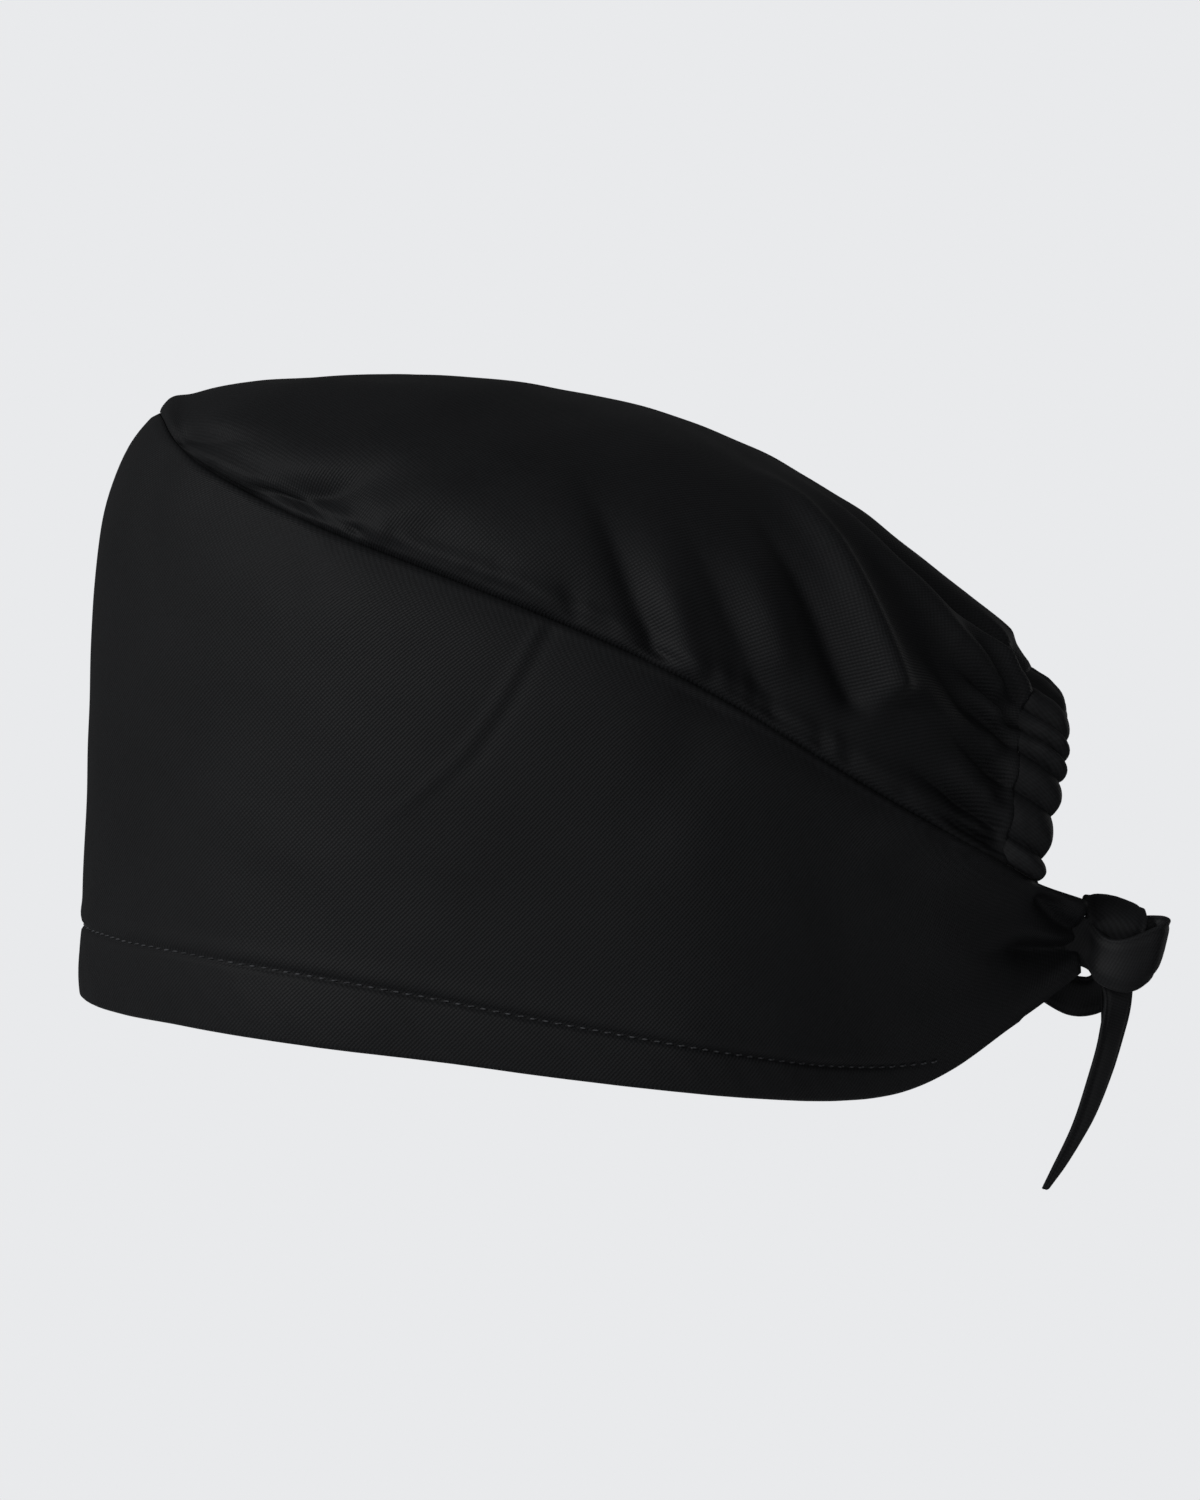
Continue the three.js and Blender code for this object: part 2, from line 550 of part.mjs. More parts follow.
// A tie, drawn through its table of rows from the band's end to the free end.
function tie(side, rows) {
  const knot = place(knotBack / capLength, 0, knotDrop / capHeight);
  const layerPitch = knotThickness + sewnGap;
  const points = rows.map(
    (row) =>
      new THREE.Vector3(
        knot.x + row.along * tieWidth,
        row.layer * layerPitch,
        knot.z + row.up * tieWidth,
      ),
  );
  const neckTop = bandPoint(side, 1);
  const neckBottom = bandPoint(side, 0);
  const across = neckTop.clone().sub(neckBottom).normalize();
  const out = bandOut(side, 0.5);
  const leave = out.clone().cross(across).multiplyScalar(side).normalize();
  const start = neckTop
    .clone()
    .lerp(neckBottom, 0.5)
    .addScaledVector(out, -clothWall / 2)
    .addScaledVector(leave, neckGap);
  const route = new THREE.CatmullRomCurve3([start, ...points], false, "centripetal");
  const neckRow = {
    tilt: THREE.MathUtils.radToDeg(Math.atan2(neckTop.x - neckBottom.x, neckTop.z - neckBottom.z)),
    yaw: 0,
    wide: neckTop.distanceTo(neckBottom) / tieWidth,
    thick: (2 * clothWall) / knotThickness,
  };
  const keyed = [neckRow, ...rows].map((row, i) => ({ ...row, key: i }));
  const rings = steps(tieSteps).map((share) => {
    const key = share * (keyed.length - 1);
    const column = (name) => readColumn(keyed, "key", name, key);
    const tilt = THREE.MathUtils.degToRad(column("tilt"));
    const yaw = THREE.MathUtils.degToRad(column("yaw"));
    const forward = share === 0 ? leave : route.getTangent(share);
    const width = new THREE.Vector3(
      Math.sin(tilt) * Math.cos(yaw),
      Math.sin(yaw),
      Math.cos(tilt) * Math.cos(yaw),
    );
    const depth = new THREE.Vector3().crossVectors(forward, width).normalize();
    const halfWidth = (column("wide") * tieWidth) / 2;
    const halfDepth = (column("thick") * knotThickness) / 2;
    const centre = route.getPoint(share);
    return steps(tieSides - 1, 0, 2 * Math.PI * (1 - 1 / tieSides)).map((angle) =>
      centre
        .clone()
        .addScaledVector(width, halfWidth * squared(Math.cos(angle)))
        .addScaledVector(depth, halfDepth * squared(Math.sin(angle))),
    );
  });
  return loftRings(rings);
}

const cap = new THREE.Group();

function addPiece(name, geometry) {
  const piece = new THREE.Mesh(geometry, new THREE.MeshStandardMaterial(black));
  piece.name = name;
  cap.add(piece);
}

addPiece("side_band", sideBand());
addPiece("hem_fold", hemFold());
addPiece("crown", crown());
addPiece("back_casing", backCasing());
addPiece("left_tie", tie(-1, leftTie));
addPiece("right_tie", tie(1, rightTie));

export default cap;
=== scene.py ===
import math
import bpy
import numpy as np
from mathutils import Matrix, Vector


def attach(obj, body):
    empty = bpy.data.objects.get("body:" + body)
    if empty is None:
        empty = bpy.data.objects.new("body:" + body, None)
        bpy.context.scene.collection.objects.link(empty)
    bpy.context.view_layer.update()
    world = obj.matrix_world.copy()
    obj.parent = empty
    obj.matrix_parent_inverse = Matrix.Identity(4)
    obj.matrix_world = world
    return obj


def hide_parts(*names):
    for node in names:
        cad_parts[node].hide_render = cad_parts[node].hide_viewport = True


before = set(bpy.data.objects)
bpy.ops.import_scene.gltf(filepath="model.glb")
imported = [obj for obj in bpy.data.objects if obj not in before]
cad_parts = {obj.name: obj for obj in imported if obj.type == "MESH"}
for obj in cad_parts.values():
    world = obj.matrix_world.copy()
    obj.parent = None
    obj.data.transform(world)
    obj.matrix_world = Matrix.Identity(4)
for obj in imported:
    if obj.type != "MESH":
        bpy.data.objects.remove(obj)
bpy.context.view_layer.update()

rng = np.random.default_rng(23)
mm = 0.001

# Main sizes of the cap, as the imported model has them
cap = {
    "length": 242 * mm,  # from the band's front to the rear end of the crown seam
    "height": 182 * mm,
    "width": 152 * mm,  # across the rim
    "headTopBack": 100 * mm,  # from the band's front to the frame's zero
    "wall": 1.5 * mm,
    "frontStation": 0.125,  # the crown's front edge spans the seam up to here
    "frontReach": 0.2,  # the share of the crown's run over which that edge fades into the arches
    "casingStation": 0.925,
    "headTopRun": 0.455,
}


def table(names, rows):
    return dict(zip(names.split(), np.array(rows, dtype=float).T))


# Half of the band's two edges, from the front (station 0) to the neck of a tie (station 1)
edgeNames = "station seamAlong seamOut seamDown rimAlong rimOut rimDown"
edgeRows = [
    (0.0, 0.08, 0.0, 0.048, 0.001, 0.0, 0.852),
    (0.06, 0.086, 0.191, 0.056, 0.013, 0.23, 0.857),
    (0.12, 0.101, 0.362, 0.084, 0.05, 0.461, 0.865),
    (0.18, 0.128, 0.52, 0.113, 0.095, 0.658, 0.87),
    (0.25, 0.178, 0.697, 0.149, 0.165, 0.849, 0.88),
    (0.33, 0.256, 0.868, 0.196, 0.264, 0.967, 0.895),
    (0.42, 0.355, 0.97, 0.246, 0.376, 1.0, 0.912),
    (0.52, 0.471, 1.0, 0.306, 0.504, 0.993, 0.935),
    (0.62, 0.591, 0.967, 0.375, 0.626, 0.928, 0.956),
    (0.7, 0.686, 0.88, 0.443, 0.715, 0.79, 0.97),
    (0.77, 0.773, 0.76, 0.516, 0.785, 0.62, 0.978),
    (0.83, 0.847, 0.64, 0.577, 0.847, 0.48, 0.972),
    (0.88, 0.909, 0.53, 0.625, 0.901, 0.37, 0.943),
    (0.93, 0.961, 0.4, 0.664, 0.955, 0.275, 0.893),
    (0.97, 0.994, 0.29, 0.692, 0.998, 0.21, 0.857),
]
leftEdges = table(edgeNames, edgeRows + [(1, 1.04, 0.205, 0.716, 1.034, 0.18, 0.822)])
rightEdges = table(edgeNames, edgeRows + [(1, 1.014, 0.19, 0.815, 1.014, 0.17, 0.869)])
bandShape = table("station swell hem", [
    (0.0, 0.076, 0.123), (0.12, 0.066, 0.129), (0.25, 0.045, 0.134), (0.33, 0.036, 0.135),
    (0.52, 0.03, 0.118), (0.7, 0.028, 0.105), (0.83, 0.022, 0.099), (0.88, 0.016, 0.066),
    (0.93, 0.01, 0.03), (1.0, 0.0, 0.02),
])
crownLine = table("run along down fullness", [
    (0.0, 0.08, 0.048, 2.0), (0.074, 0.111, 0.028, 2.0), (0.16, 0.15, 0.012, 2.05),
    (0.26, 0.215, 0.001, 2.1), (0.37, 0.315, -0.004, 2.2), (0.494, 0.44, 0.005, 2.25),
    (0.617, 0.575, 0.042, 2.25), (0.716, 0.69, 0.098, 2.2), (0.8, 0.785, 0.166, 2.15),
    (0.877, 0.862, 0.238, 2.1), (0.938, 0.928, 0.306, 2.1), (0.97, 0.96, 0.348, 2.1),
    (1.0, 0.986, 0.398, 2.1),
])
casingEdge = table("side along down", [
    (0.0, 1.0135, 0.46), (0.35, 1.016, 0.49), (0.7, 1.006, 0.578), (1.0, 0.99, 0.688),
])


def smooth(x):
    held = np.clip(x, 0, 1)
    return held * held * (3 - 2 * held)


def unit(v):
    return v / np.maximum(np.linalg.norm(v, axis=-1, keepdims=True), 1e-12)


def readColumn(rows, key, column, at, mirrored=False):
    keys, values = rows[key], rows[column]
    at = np.asarray(at, dtype=float)
    slopes = np.empty_like(values)
    slopes[1:-1] = (values[2:] - values[:-2]) / (keys[2:] - keys[:-2])
    slopes[0] = (values[1] - values[0]) / (keys[1] - keys[0])
    slopes[-1] = (values[-1] - values[-2]) / (keys[-1] - keys[-2])
    if mirrored:  # an odd column crosses 0 there, and any other is level
        slopes[0] = values[1] / keys[1] if values[0] == 0 else 0
    i = np.clip(np.searchsorted(keys, at, side="left") - 1, 0, len(keys) - 2)
    span = keys[i + 1] - keys[i]
    u = (at - keys[i]) / span
    return (values[i] * (1 + 2 * u) * (1 - u) ** 2 + values[i + 1] * u * u * (3 - 2 * u)
            + slopes[i] * span * u * (1 - u) ** 2 - slopes[i + 1] * span * u * u * (1 - u))


topAboveHead = float(readColumn(crownLine, "run", "down", cap["headTopRun"])) * cap["height"]


def place(along, out, down):
    along, out, down = np.broadcast_arrays(*[np.asarray(n, dtype=float) for n in (along, out, down)])
    return np.stack([
        along * cap["length"] - cap["headTopBack"],
        out * cap["width"] / 2,
        cap["wall"] + topAboveHead - down * cap["height"],
    ], axis=-1)


def edgePoint(station, edge):
    station = np.asarray(station, dtype=float)
    at = np.abs(station)
    ends = []
    for rows in (leftEdges, rightEdges):
        read = [readColumn(rows, "station", edge + name, at, True) for name in ("Along", "Out", "Down")]
        ends.append(place(read[0], np.where(station < 0, -1, 1) * read[1], read[2]))
    return np.where((station < 0)[..., None], ends[0], ends[1])


def rimPoint(station):
    return edgePoint(station, "rim")


def seamPoint(station):
    return edgePoint(station, "seam")


def levelOut(station):
    low, high = np.maximum(station - 0.01, -1), np.minimum(station + 0.01, 1)
    along = rimPoint(high) + seamPoint(high) - rimPoint(low) - seamPoint(low)
    return unit(np.stack([-along[..., 1], along[..., 0], np.zeros_like(along[..., 0])], axis=-1))


def bandBase(station, height):
    station, height = np.broadcast_arrays(np.asarray(station, dtype=float), np.asarray(height, dtype=float))
    swell = readColumn(bandShape, "station", "swell", np.abs(station), True) * cap["height"]
    h = height[..., None]
    held = np.maximum(height, 0)
    profile = held ** 0.9 * (1 - held ** 9)
    return (rimPoint(station) * (1 - h) + seamPoint(station) * h
            + levelOut(station) * (swell * profile)[..., None])


def seamStation(run):
    return cap["frontStation"] + (cap["casingStation"] - cap["frontStation"]) * run


def crownArch(run, side):
    end = seamPoint(seamStation(run))
    top = place(readColumn(crownLine, "run", "along", run), 0, readColumn(crownLine, "run", "down", run))
    power = 2 / readColumn(crownLine, "run", "fullness", run)
    angle = side * math.pi / 2
    across = np.sign(side) * np.abs(np.sin(angle)) ** power
    up = np.maximum(np.cos(angle), 0) ** power
    return np.stack([
        end[..., 0] + (top[..., 0] - end[..., 0]) * up,
        end[..., 1] * across,
        end[..., 2] + (top[..., 2] - end[..., 2]) * up,
    ], axis=-1)


def crownBase(run, side):
    run, side = np.broadcast_arrays(np.asarray(run, dtype=float), np.asarray(side, dtype=float))
    offset = seamPoint(side * cap["frontStation"]) - crownArch(np.zeros_like(run), side)
    return crownArch(run, side) + offset * (1 - smooth(run / cap["frontReach"]))[..., None]


def squareTo(surface, u, v):
    step = 0.004
    du = surface(u + step, v) - surface(u - step, v)
    dv = surface(u, v + step) - surface(u, v - step)
    return unit(np.cross(du, dv))


def crownOut(run, side):
    return squareTo(crownBase, np.clip(run, 0.04, 0.995), np.clip(side, -0.985, 0.985))


def bandOut(station, height):
    return -squareTo(bandBase, np.clip(station, -0.995, 0.995), np.clip(height, 0.005, 0.995))


def foldLine(surface, path, samples=12):
    path = np.array(path, dtype=float)
    at = np.linspace(0, len(path) - 1, samples)
    low = np.clip(at.astype(int), 0, len(path) - 2)
    mix = (at - low)[:, None]
    places = path[low] * (1 - mix) + path[low + 1] * mix
    return surface(places[:, 0], places[:, 1])


# Nearest place on a line: how far it is, its share of the line, and how far to the left or right
def nearestOn(line, points, normals):
    best = np.full(len(points), 1e9)
    share = np.zeros(len(points))
    aside = np.zeros(len(points))
    for k in range(len(line) - 1):
        step = line[k + 1] - line[k]
        t = np.clip(((points - line[k]) @ step) / (step @ step), 0, 1)
        away = points - (line[k] + t[:, None] * step)
        far = np.linalg.norm(away, axis=1)
        closer = far < best
        best = np.where(closer, far, best)
        share = np.where(closer, (k + t) / (len(line) - 1), share)
        turned = np.sum(away * np.cross(step, normals), axis=1) / np.linalg.norm(step)
        aside = np.where(closer, turned, aside)
    return best, share, aside


# A fold is strongest at the start of its path, holds for a share of it and then fades. crisp is the
# power of its section, rise lets it start softly, and lean makes one flank steeper than the other.
plainFold = {"crisp": 2.0, "hold": 0.3, "rise": 0.0, "lean": 0.0}
foldReach = 3.2  # a fold is nothing beyond this many times its width


def foldField(points, normals, folds):
    height = np.zeros(points.shape[:-1])
    for fold in folds:
        fold = dict(plainFold, **fold)
        line, wide = fold["line"], fold["wide"] * mm
        reach = foldReach * wide * (1 + abs(fold["lean"]))
        near = np.all((points > line.min(0) - reach) & (points < line.max(0) + reach), axis=-1)
        if not near.any():
            continue
        far, share, aside = nearestOn(line, points[near], normals[near])
        width = wide * (1 + fold["lean"] * np.tanh(aside / wide * 2))
        fade = 1 - smooth((share - fold["hold"]) / (1.02 - fold["hold"]))
        rise = smooth(share / fold["rise"]) if fold["rise"] > 0 else 1
        height[near] += fold["deep"] * mm * np.exp(-(far / width) ** fold["crisp"]) * fade * rise
    return height


# Nine waves in random directions, for the unevenness of soft cloth
def ripples(points, wavelength, size, seed):
    waves = np.random.default_rng(seed)
    height = np.zeros(points.shape[:-1])
    for _ in range(9):
        direction = waves.normal(size=3)
        direction *= 2 * math.pi / (wavelength * waves.uniform(0.7, 1.5)) / np.linalg.norm(direction)
        height += np.sin(points @ direction + waves.uniform(0, 6.28)) / 3
    return height * size


def makePiece(name, points, faces, weave=None):
    mesh = bpy.data.meshes.new(name)
    mesh.from_pydata(points.reshape(-1, 3).tolist(), [], faces)
    mesh.validate()
    mesh.update()
    if weave is not None:
        layer = mesh.uv_layers.new(name="weave")
        corner = np.empty(len(mesh.loops), dtype=np.int32)
        mesh.loops.foreach_get("vertex_index", corner)
        layer.data.foreach_set("uv", weave.reshape(-1, 2)[corner].astype(np.float32).ravel())
    mesh.shade_smooth()
    piece = bpy.data.objects.new(name, mesh)
    bpy.context.collection.objects.link(piece)
    return piece


# Quads between the points of a grid; a closed one joins its last column to its first
def gridFaces(rows, columns, start=0, flip=False, closed=False):
    across = columns if closed else columns - 1
    i, j = np.meshgrid(np.arange(rows - 1), np.arange(across), indexing="ij")
    after = (j + 1) % columns
    a, b = start + i * columns + j, start + (i + 1) * columns + j
    c, d = start + (i + 1) * columns + after, start + i * columns + after
    quads = np.stack([a, d, c, b] if flip else [a, b, c, d], axis=-1).reshape(-1, 4)
    return quads.tolist()


# Two grids, outer and inner, joined along their border
def shellFaces(rows, columns):
    under = rows * columns
    faces = gridFaces(rows, columns) + gridFaces(rows, columns, under, flip=True)
    border = ([(i, 0) for i in range(rows)] + [(rows - 1, j) for j in range(1, columns)]
              + [(i, columns - 1) for i in range(rows - 2, -1, -1)]
              + [(0, j) for j in range(columns - 2, 0, -1)])
    ids = [i * columns + j for i, j in border]
    for k, a in enumerate(ids):
        b = ids[(k + 1) % len(ids)]
        faces.append([b, a, a + under, b + under])
    return faces


# A closed grid with a face at each end
def tubeFaces(rings, sides):
    faces = gridFaces(rings, sides, closed=True)
    faces.append(list(range(sides)))
    faces.append(list(range((rings - 1) * sides, rings * sides))[::-1])
    return faces


def turnOutwards(points, faces):
    quads = np.array([face for face in faces if len(face) == 4])
    a, b, c, d = [points[quads[:, k]] for k in range(4)]
    volume = np.sum(a * (np.cross(b, c) + np.cross(c, d)))
    return faces if volume > 0 else [face[::-1] for face in faces]


def arcLengths(points, axis):
    step = np.linalg.norm(np.diff(points, axis=axis), axis=-1)
    total = np.cumsum(step, axis=axis)
    pad = [(0, 0)] * total.ndim
    pad[axis] = (1, 0)
    return np.pad(total, pad)


def hexLinear(code):
    parts = [int(code[i:i + 2], 16) / 255 for i in (1, 3, 5)]
    return tuple([c / 12.92 if c <= 0.04045 else ((c + 0.055) / 1.055) ** 2.4 for c in parts] + [1.0])


def addNode(tree, kind, settings=None, links=None):
    node = tree.nodes.new(kind)
    for name, value in (settings or {}).items():
        if isinstance(name, int) or name in node.inputs:
            node.inputs[name].default_value = value
        else:
            setattr(node, name, value)
    for socket, source in (links or {}).items():
        tree.links.new(source, node.inputs[socket])
    return node


def emptyMaterial(name):
    material = bpy.data.materials.new(name)
    material.use_nodes = True
    material.node_tree.nodes.clear()
    return material, material.node_tree


# Black polyester-cotton twill, the usual cloth of scrub caps: woven with fine ribs that climb to the
# right and give it a soft, broad shine where they face the light. They are about 0.6 mm apart in the
# photograph and are drawn 0.75 mm apart to show.
twill = {
    "threads": "#1f2022",
    # painted shade: the furrows between the ribs are coloured darker than the threads
    "furrowShade": "#0a0a0b",
    "worn": "#232426",
    "ribPitch": 0.75 * mm,
    "ribAngle": -43.0,
    "yarnPitch": 0.9 * mm,
    "yarnShare": 0.3,
    "slub": 2.2 * mm,  # thick and thin places of the yarn
    "slubShare": 0.35,
    "wearScale": 28.0,  # per metre, for patches about 36 mm wide
    "wearMost": 0.2,
    "depth": 0.28 * mm,
    "relief": 0.65,
    "roughness": 0.62,
    "roughnessSway": 0.06,
    "specular": 0.18,
}
# The gathered casing and the ties are pulled tight, which closes the ribs and turns them; their painted
# furrow shade is a little lighter
tightTwill = dict(twill, ribAngle=-23.0, furrowShade="#0c0c0d", relief=0.22)
waveTurn = 2 * math.pi / 20  # Blender's wave texture repeats every 0.314 of its scaled coordinate


def twillCloth(name, style):
    material, tree = emptyMaterial(name)
    onCloth = {"Vector": addNode(tree, "ShaderNodeUVMap", {"uv_map": "weave"}).outputs["UV"]}
    turned = addNode(tree, "ShaderNodeMapping",
                     {"Rotation": (0, 0, math.radians(style["ribAngle"]))}, onCloth)
    onRibs = {"Vector": turned.outputs["Vector"]}
    ribs = addNode(tree, "ShaderNodeTexWave",
                   {"wave_type": "BANDS", "bands_direction": "X", "Scale": waveTurn / style["ribPitch"],
                    "Distortion": 1.4, "Detail": 2.0, "Detail Scale": 1.6}, onRibs)
    yarns = addNode(tree, "ShaderNodeTexWave",
                    {"wave_type": "BANDS", "bands_direction": "Y", "Scale": waveTurn / style["yarnPitch"],
                     "Distortion": 2.2, "Detail": 2.0}, onRibs)
    slub = addNode(tree, "ShaderNodeTexNoise",
                   {"Scale": 1 / style["slub"], "Detail": 4.0, "Roughness": 0.6}, onCloth)
    wear = addNode(tree, "ShaderNodeTexNoise", {"Scale": style["wearScale"], "Detail": 3.0}, onCloth)
    woven = addNode(tree, "ShaderNodeMix", {"data_type": "FLOAT", 0: style["yarnShare"]},
                    {2: ribs.outputs["Fac"], 3: yarns.outputs["Fac"]})
    slubbed = addNode(tree, "ShaderNodeMix", {"data_type": "FLOAT", 0: style["slubShare"]},
                      {2: woven.outputs[0], 3: slub.outputs["Fac"]})
    # painted shade in the weave: the colour darkens to the furrow colour where the weave's height, and so the
    # bump, is low
    shade = addNode(tree, "ShaderNodeMix",
                    {"data_type": "RGBA", 6: hexLinear(style["furrowShade"]), 7: hexLinear(style["threads"])},
                    {0: slubbed.outputs[0]})
    worn = addNode(tree, "ShaderNodeMapRange",
                   {"From Min": 0.4, "From Max": 0.8, "To Max": style["wearMost"]},
                   {"Value": wear.outputs["Fac"]})
    colour = addNode(tree, "ShaderNodeMix", {"data_type": "RGBA", 7: hexLinear(style["worn"])},
                     {0: worn.outputs["Result"], 6: shade.outputs[2]})
    rough = addNode(tree, "ShaderNodeMapRange",
                    {"To Min": style["roughness"] - style["roughnessSway"],
                     "To Max": style["roughness"] + style["roughnessSway"]},
                    {"Value": slub.outputs["Fac"]})
    bump = addNode(tree, "ShaderNodeBump", {"Strength": style["relief"], "Distance": style["depth"]},
                   {"Height": slubbed.outputs[0]})
    shader = addNode(tree, "ShaderNodeBsdfPrincipled",
                     {"Specular IOR Level": style["specular"]},
                     {"Base Color": colour.outputs[2], "Roughness": rough.outputs["Result"],
                      "Normal": bump.outputs["Normal"]})
    addNode(tree, "ShaderNodeOutputMaterial", None, {"Surface": shader.outputs["BSDF"]})
    return material


# Black spun polyester sewing thread: smoother than the cloth, and its colour painted a little lighter, as a
# painted highlight where it lies on top and catches the light. Its plies turn once every 0.8 mm, with painted
# shade in the grooves between them.
thread = {"colour": "#46474a", "shade": "#242527", "twist": 0.8 * mm, "relief": 0.4, "depth": 0.1 * mm,
          "roughness": 0.6, "specular": 0.3}


def sewingThread():
    material, tree = emptyMaterial("spunThread")
    where = addNode(tree, "ShaderNodeTexCoord")
    twist = addNode(tree, "ShaderNodeTexWave",
                    {"wave_type": "BANDS", "bands_direction": "DIAGONAL",
                     "Scale": waveTurn / thread["twist"], "Distortion": 1.0},
                    {"Vector": where.outputs["Object"]})
    # painted highlight on the plies and painted shade in the grooves between them
    colour = addNode(tree, "ShaderNodeMix",
                     {"data_type": "RGBA", 6: hexLinear(thread["shade"]), 7: hexLinear(thread["colour"])},
                     {0: twist.outputs["Fac"]})
    bump = addNode(tree, "ShaderNodeBump", {"Strength": thread["relief"], "Distance": thread["depth"]},
                   {"Height": twist.outputs["Fac"]})
    shader = addNode(tree, "ShaderNodeBsdfPrincipled",
                     {"Roughness": thread["roughness"], "Specular IOR Level": thread["specular"]},
                     {"Base Color": colour.outputs[2], "Normal": bump.outputs["Normal"]})
    addNode(tree, "ShaderNodeOutputMaterial", None, {"Surface": shader.outputs["BSDF"]})
    return material


print("crown")
crownStyle = {
    "cloth": 0.7,
    "fineFrom": 0.9,  # the mesh is finer next to the seams and the casing
    "rows": (150, 42),
    "halfColumns": (76, 26),
    "seamFade": (0.4, 4.5),  # folds run out over so many mm next to the seam
    "seamRoll": (1.0, 1.1),  # the edge rolls in by so many mm over so many mm
    "seamPuff": (1.3, 5.0, 3.2),  # and the cloth stands up beside it: height, distance, width
    "tuck": 1.8,
    "rearUnder": 0.4,  # the casing starts this far under the crown's face
    "puckersEachSide": 37,
    "seenPuckers": [0.405, 0.43, 0.467, 0.54, 0.563],
    "puckerLong": (0.05, 0.15),  # least and most, like the next ones
    "puckerDeep": (0.35, 1.0),
    "puckerWide": (1.6, 3.4),
    "gathers": 7,
    "valleyDeep": (4.2, 5.6),
    "valleyWide": (2.3, 3.1),
    "puffHigh": (1.6, 2.4),
    "puffWide": (2.0, 2.8),
    "stitchHold": (0.55, 2.2),  # share of the folds that the casing's stitches press flat, and how far
    "stitchDip": (0.5, 1.2),  # depth and width along those stitches
    "ripples": [(46, 0.55, 5), (17, 0.14, 8)],  # wavelength and size in mm, seed
}

# Folds of one half: run and side at each point of the path, deep and wide in mm, valleys below 0
halfCrownFolds = [
    {"path": [(0.0, 0.99), (0.045, 0.8), (0.155, 0.68), (0.225, 0.66)],
     "deep": -2.6, "wide": 3.6, "crisp": 1.5, "hold": 0.2},
    {"path": [(0.05, 0.62), (0.15, 0.57), (0.26, 0.52)], "deep": 1.2, "wide": 6, "rise": 0.4, "hold": 0.4},
    {"path": [(0.21, 0.97), (0.27, 0.84), (0.33, 0.72), (0.4, 0.59)],
     "deep": -4.8, "wide": 6, "crisp": 1.6, "hold": 0.3},
    {"path": [(0.3, 0.97), (0.35, 0.86), (0.42, 0.72), (0.48, 0.6)], "deep": 2.6, "wide": 6.5, "rise": 0.3},
    {"path": [(0.63, 0.99), (0.605, 0.85), (0.58, 0.67), (0.55, 0.5)],
     "deep": -4.2, "wide": 6.5, "crisp": 1.5, "lean": -0.3},
    {"path": [(0.655, 0.98), (0.64, 0.85), (0.62, 0.7)], "deep": 2.8, "wide": 5, "hold": 0.2},
    {"path": [(0.745, 0.97), (0.7, 0.79), (0.67, 0.67), (0.63, 0.5)], "deep": -2.4, "wide": 6, "crisp": 1.5},
    {"path": [(0.76, 0.9), (0.73, 0.72), (0.7, 0.55)], "deep": 1.8, "wide": 5, "rise": 0.2},
    {"path": [(0.84, 0.87), (0.81, 0.77), (0.775, 0.63), (0.735, 0.49), (0.7, 0.38)],
     "deep": -4.6, "wide": 5, "crisp": 1.5, "rise": 0.15},
    {"path": [(0.87, 0.76), (0.855, 0.69), (0.805, 0.5), (0.755, 0.3), (0.72, 0.2)],
     "deep": 5.0, "wide": 4.8, "rise": 0.12, "hold": 0.5},
    {"path": [(0.975, 0.72), (0.93, 0.6), (0.9, 0.52), (0.86, 0.44)],
     "deep": -4.4, "wide": 7, "crisp": 1.6, "hold": 0.4},
    {"path": [(1.0, 0.32), (0.93, 0.41), (0.86, 0.31), (0.735, 0.12)], "deep": 2.6, "wide": 4.5, "hold": 0.5},
    {"path": [(1.0, 0.8), (0.915, 0.72), (0.845, 0.58), (0.82, 0.52)], "deep": 0.9, "wide": 5, "hold": 0.3},
    {"path": [(1.0, 0.45), (0.965, 0.46), (0.93, 0.48)], "deep": -2.4, "wide": 3.6, "crisp": 1.5},
    {"path": [(1.0, 0.81), (0.965, 0.82), (0.93, 0.83)], "deep": -2.2, "wide": 3.2, "crisp": 1.5},
    {"path": [(0.98, 0.98), (0.93, 0.9), (0.87, 0.88)], "deep": -1.8, "wide": 4, "crisp": 1.6},
    {"path": [(0.5, 0.5), (0.44, 0.36), (0.4, 0.2)], "deep": -1.0, "wide": 11, "rise": 0.4},
]
# The valley behind the crest that shows from the left, which has no twin on the right
topValley = {"path": [(1.0, -0.15), (0.95, -0.21), (0.9, -0.2), (0.83, -0.15), (0.74, -0.05)],
             "deep": -5.4, "wide": 5.5, "crisp": 1.7, "hold": 0.45}


def bothSides(rows, surface, mirror):
    folds = []
    for sign in (-1, 1):
        for row in rows:
            path = [mirror(a, b, sign) for a, b in row["path"]]
            fold = dict(row, line=foldLine(surface, path))
            if sign > 0:  # the unseen side is like the other one, but not its mirror image
                fold["deep"] = row["deep"] * rng.uniform(0.8, 1.15)
                fold["line"] = fold["line"] + rng.normal(0, 1.2 * mm, 3)
            fold["lean"] = row.get("lean", 0) * sign
            folds.append(fold)
    return folds


# Gathers along each half of the casing's stitch line, from the middle (0) to the end (1), shared by
# the crown and the casing
gatherEnds = {}
for sign in (-1, 1):
    spans = np.cumsum(np.concatenate([[0.0], rng.uniform(0.6, 1.4, crownStyle["gathers"])]))
    gatherEnds[sign] = spans / spans[-1]
stitchSides = np.linspace(-1, 1, 801)
stitchArc = arcLengths(crownBase(np.ones_like(stitchSides), stitchSides), 0)
stitchArc -= stitchArc[len(stitchSides) // 2]


def sideAtGather(sign, share):
    return float(np.interp(sign * share * stitchArc[-1], stitchArc, stitchSides))


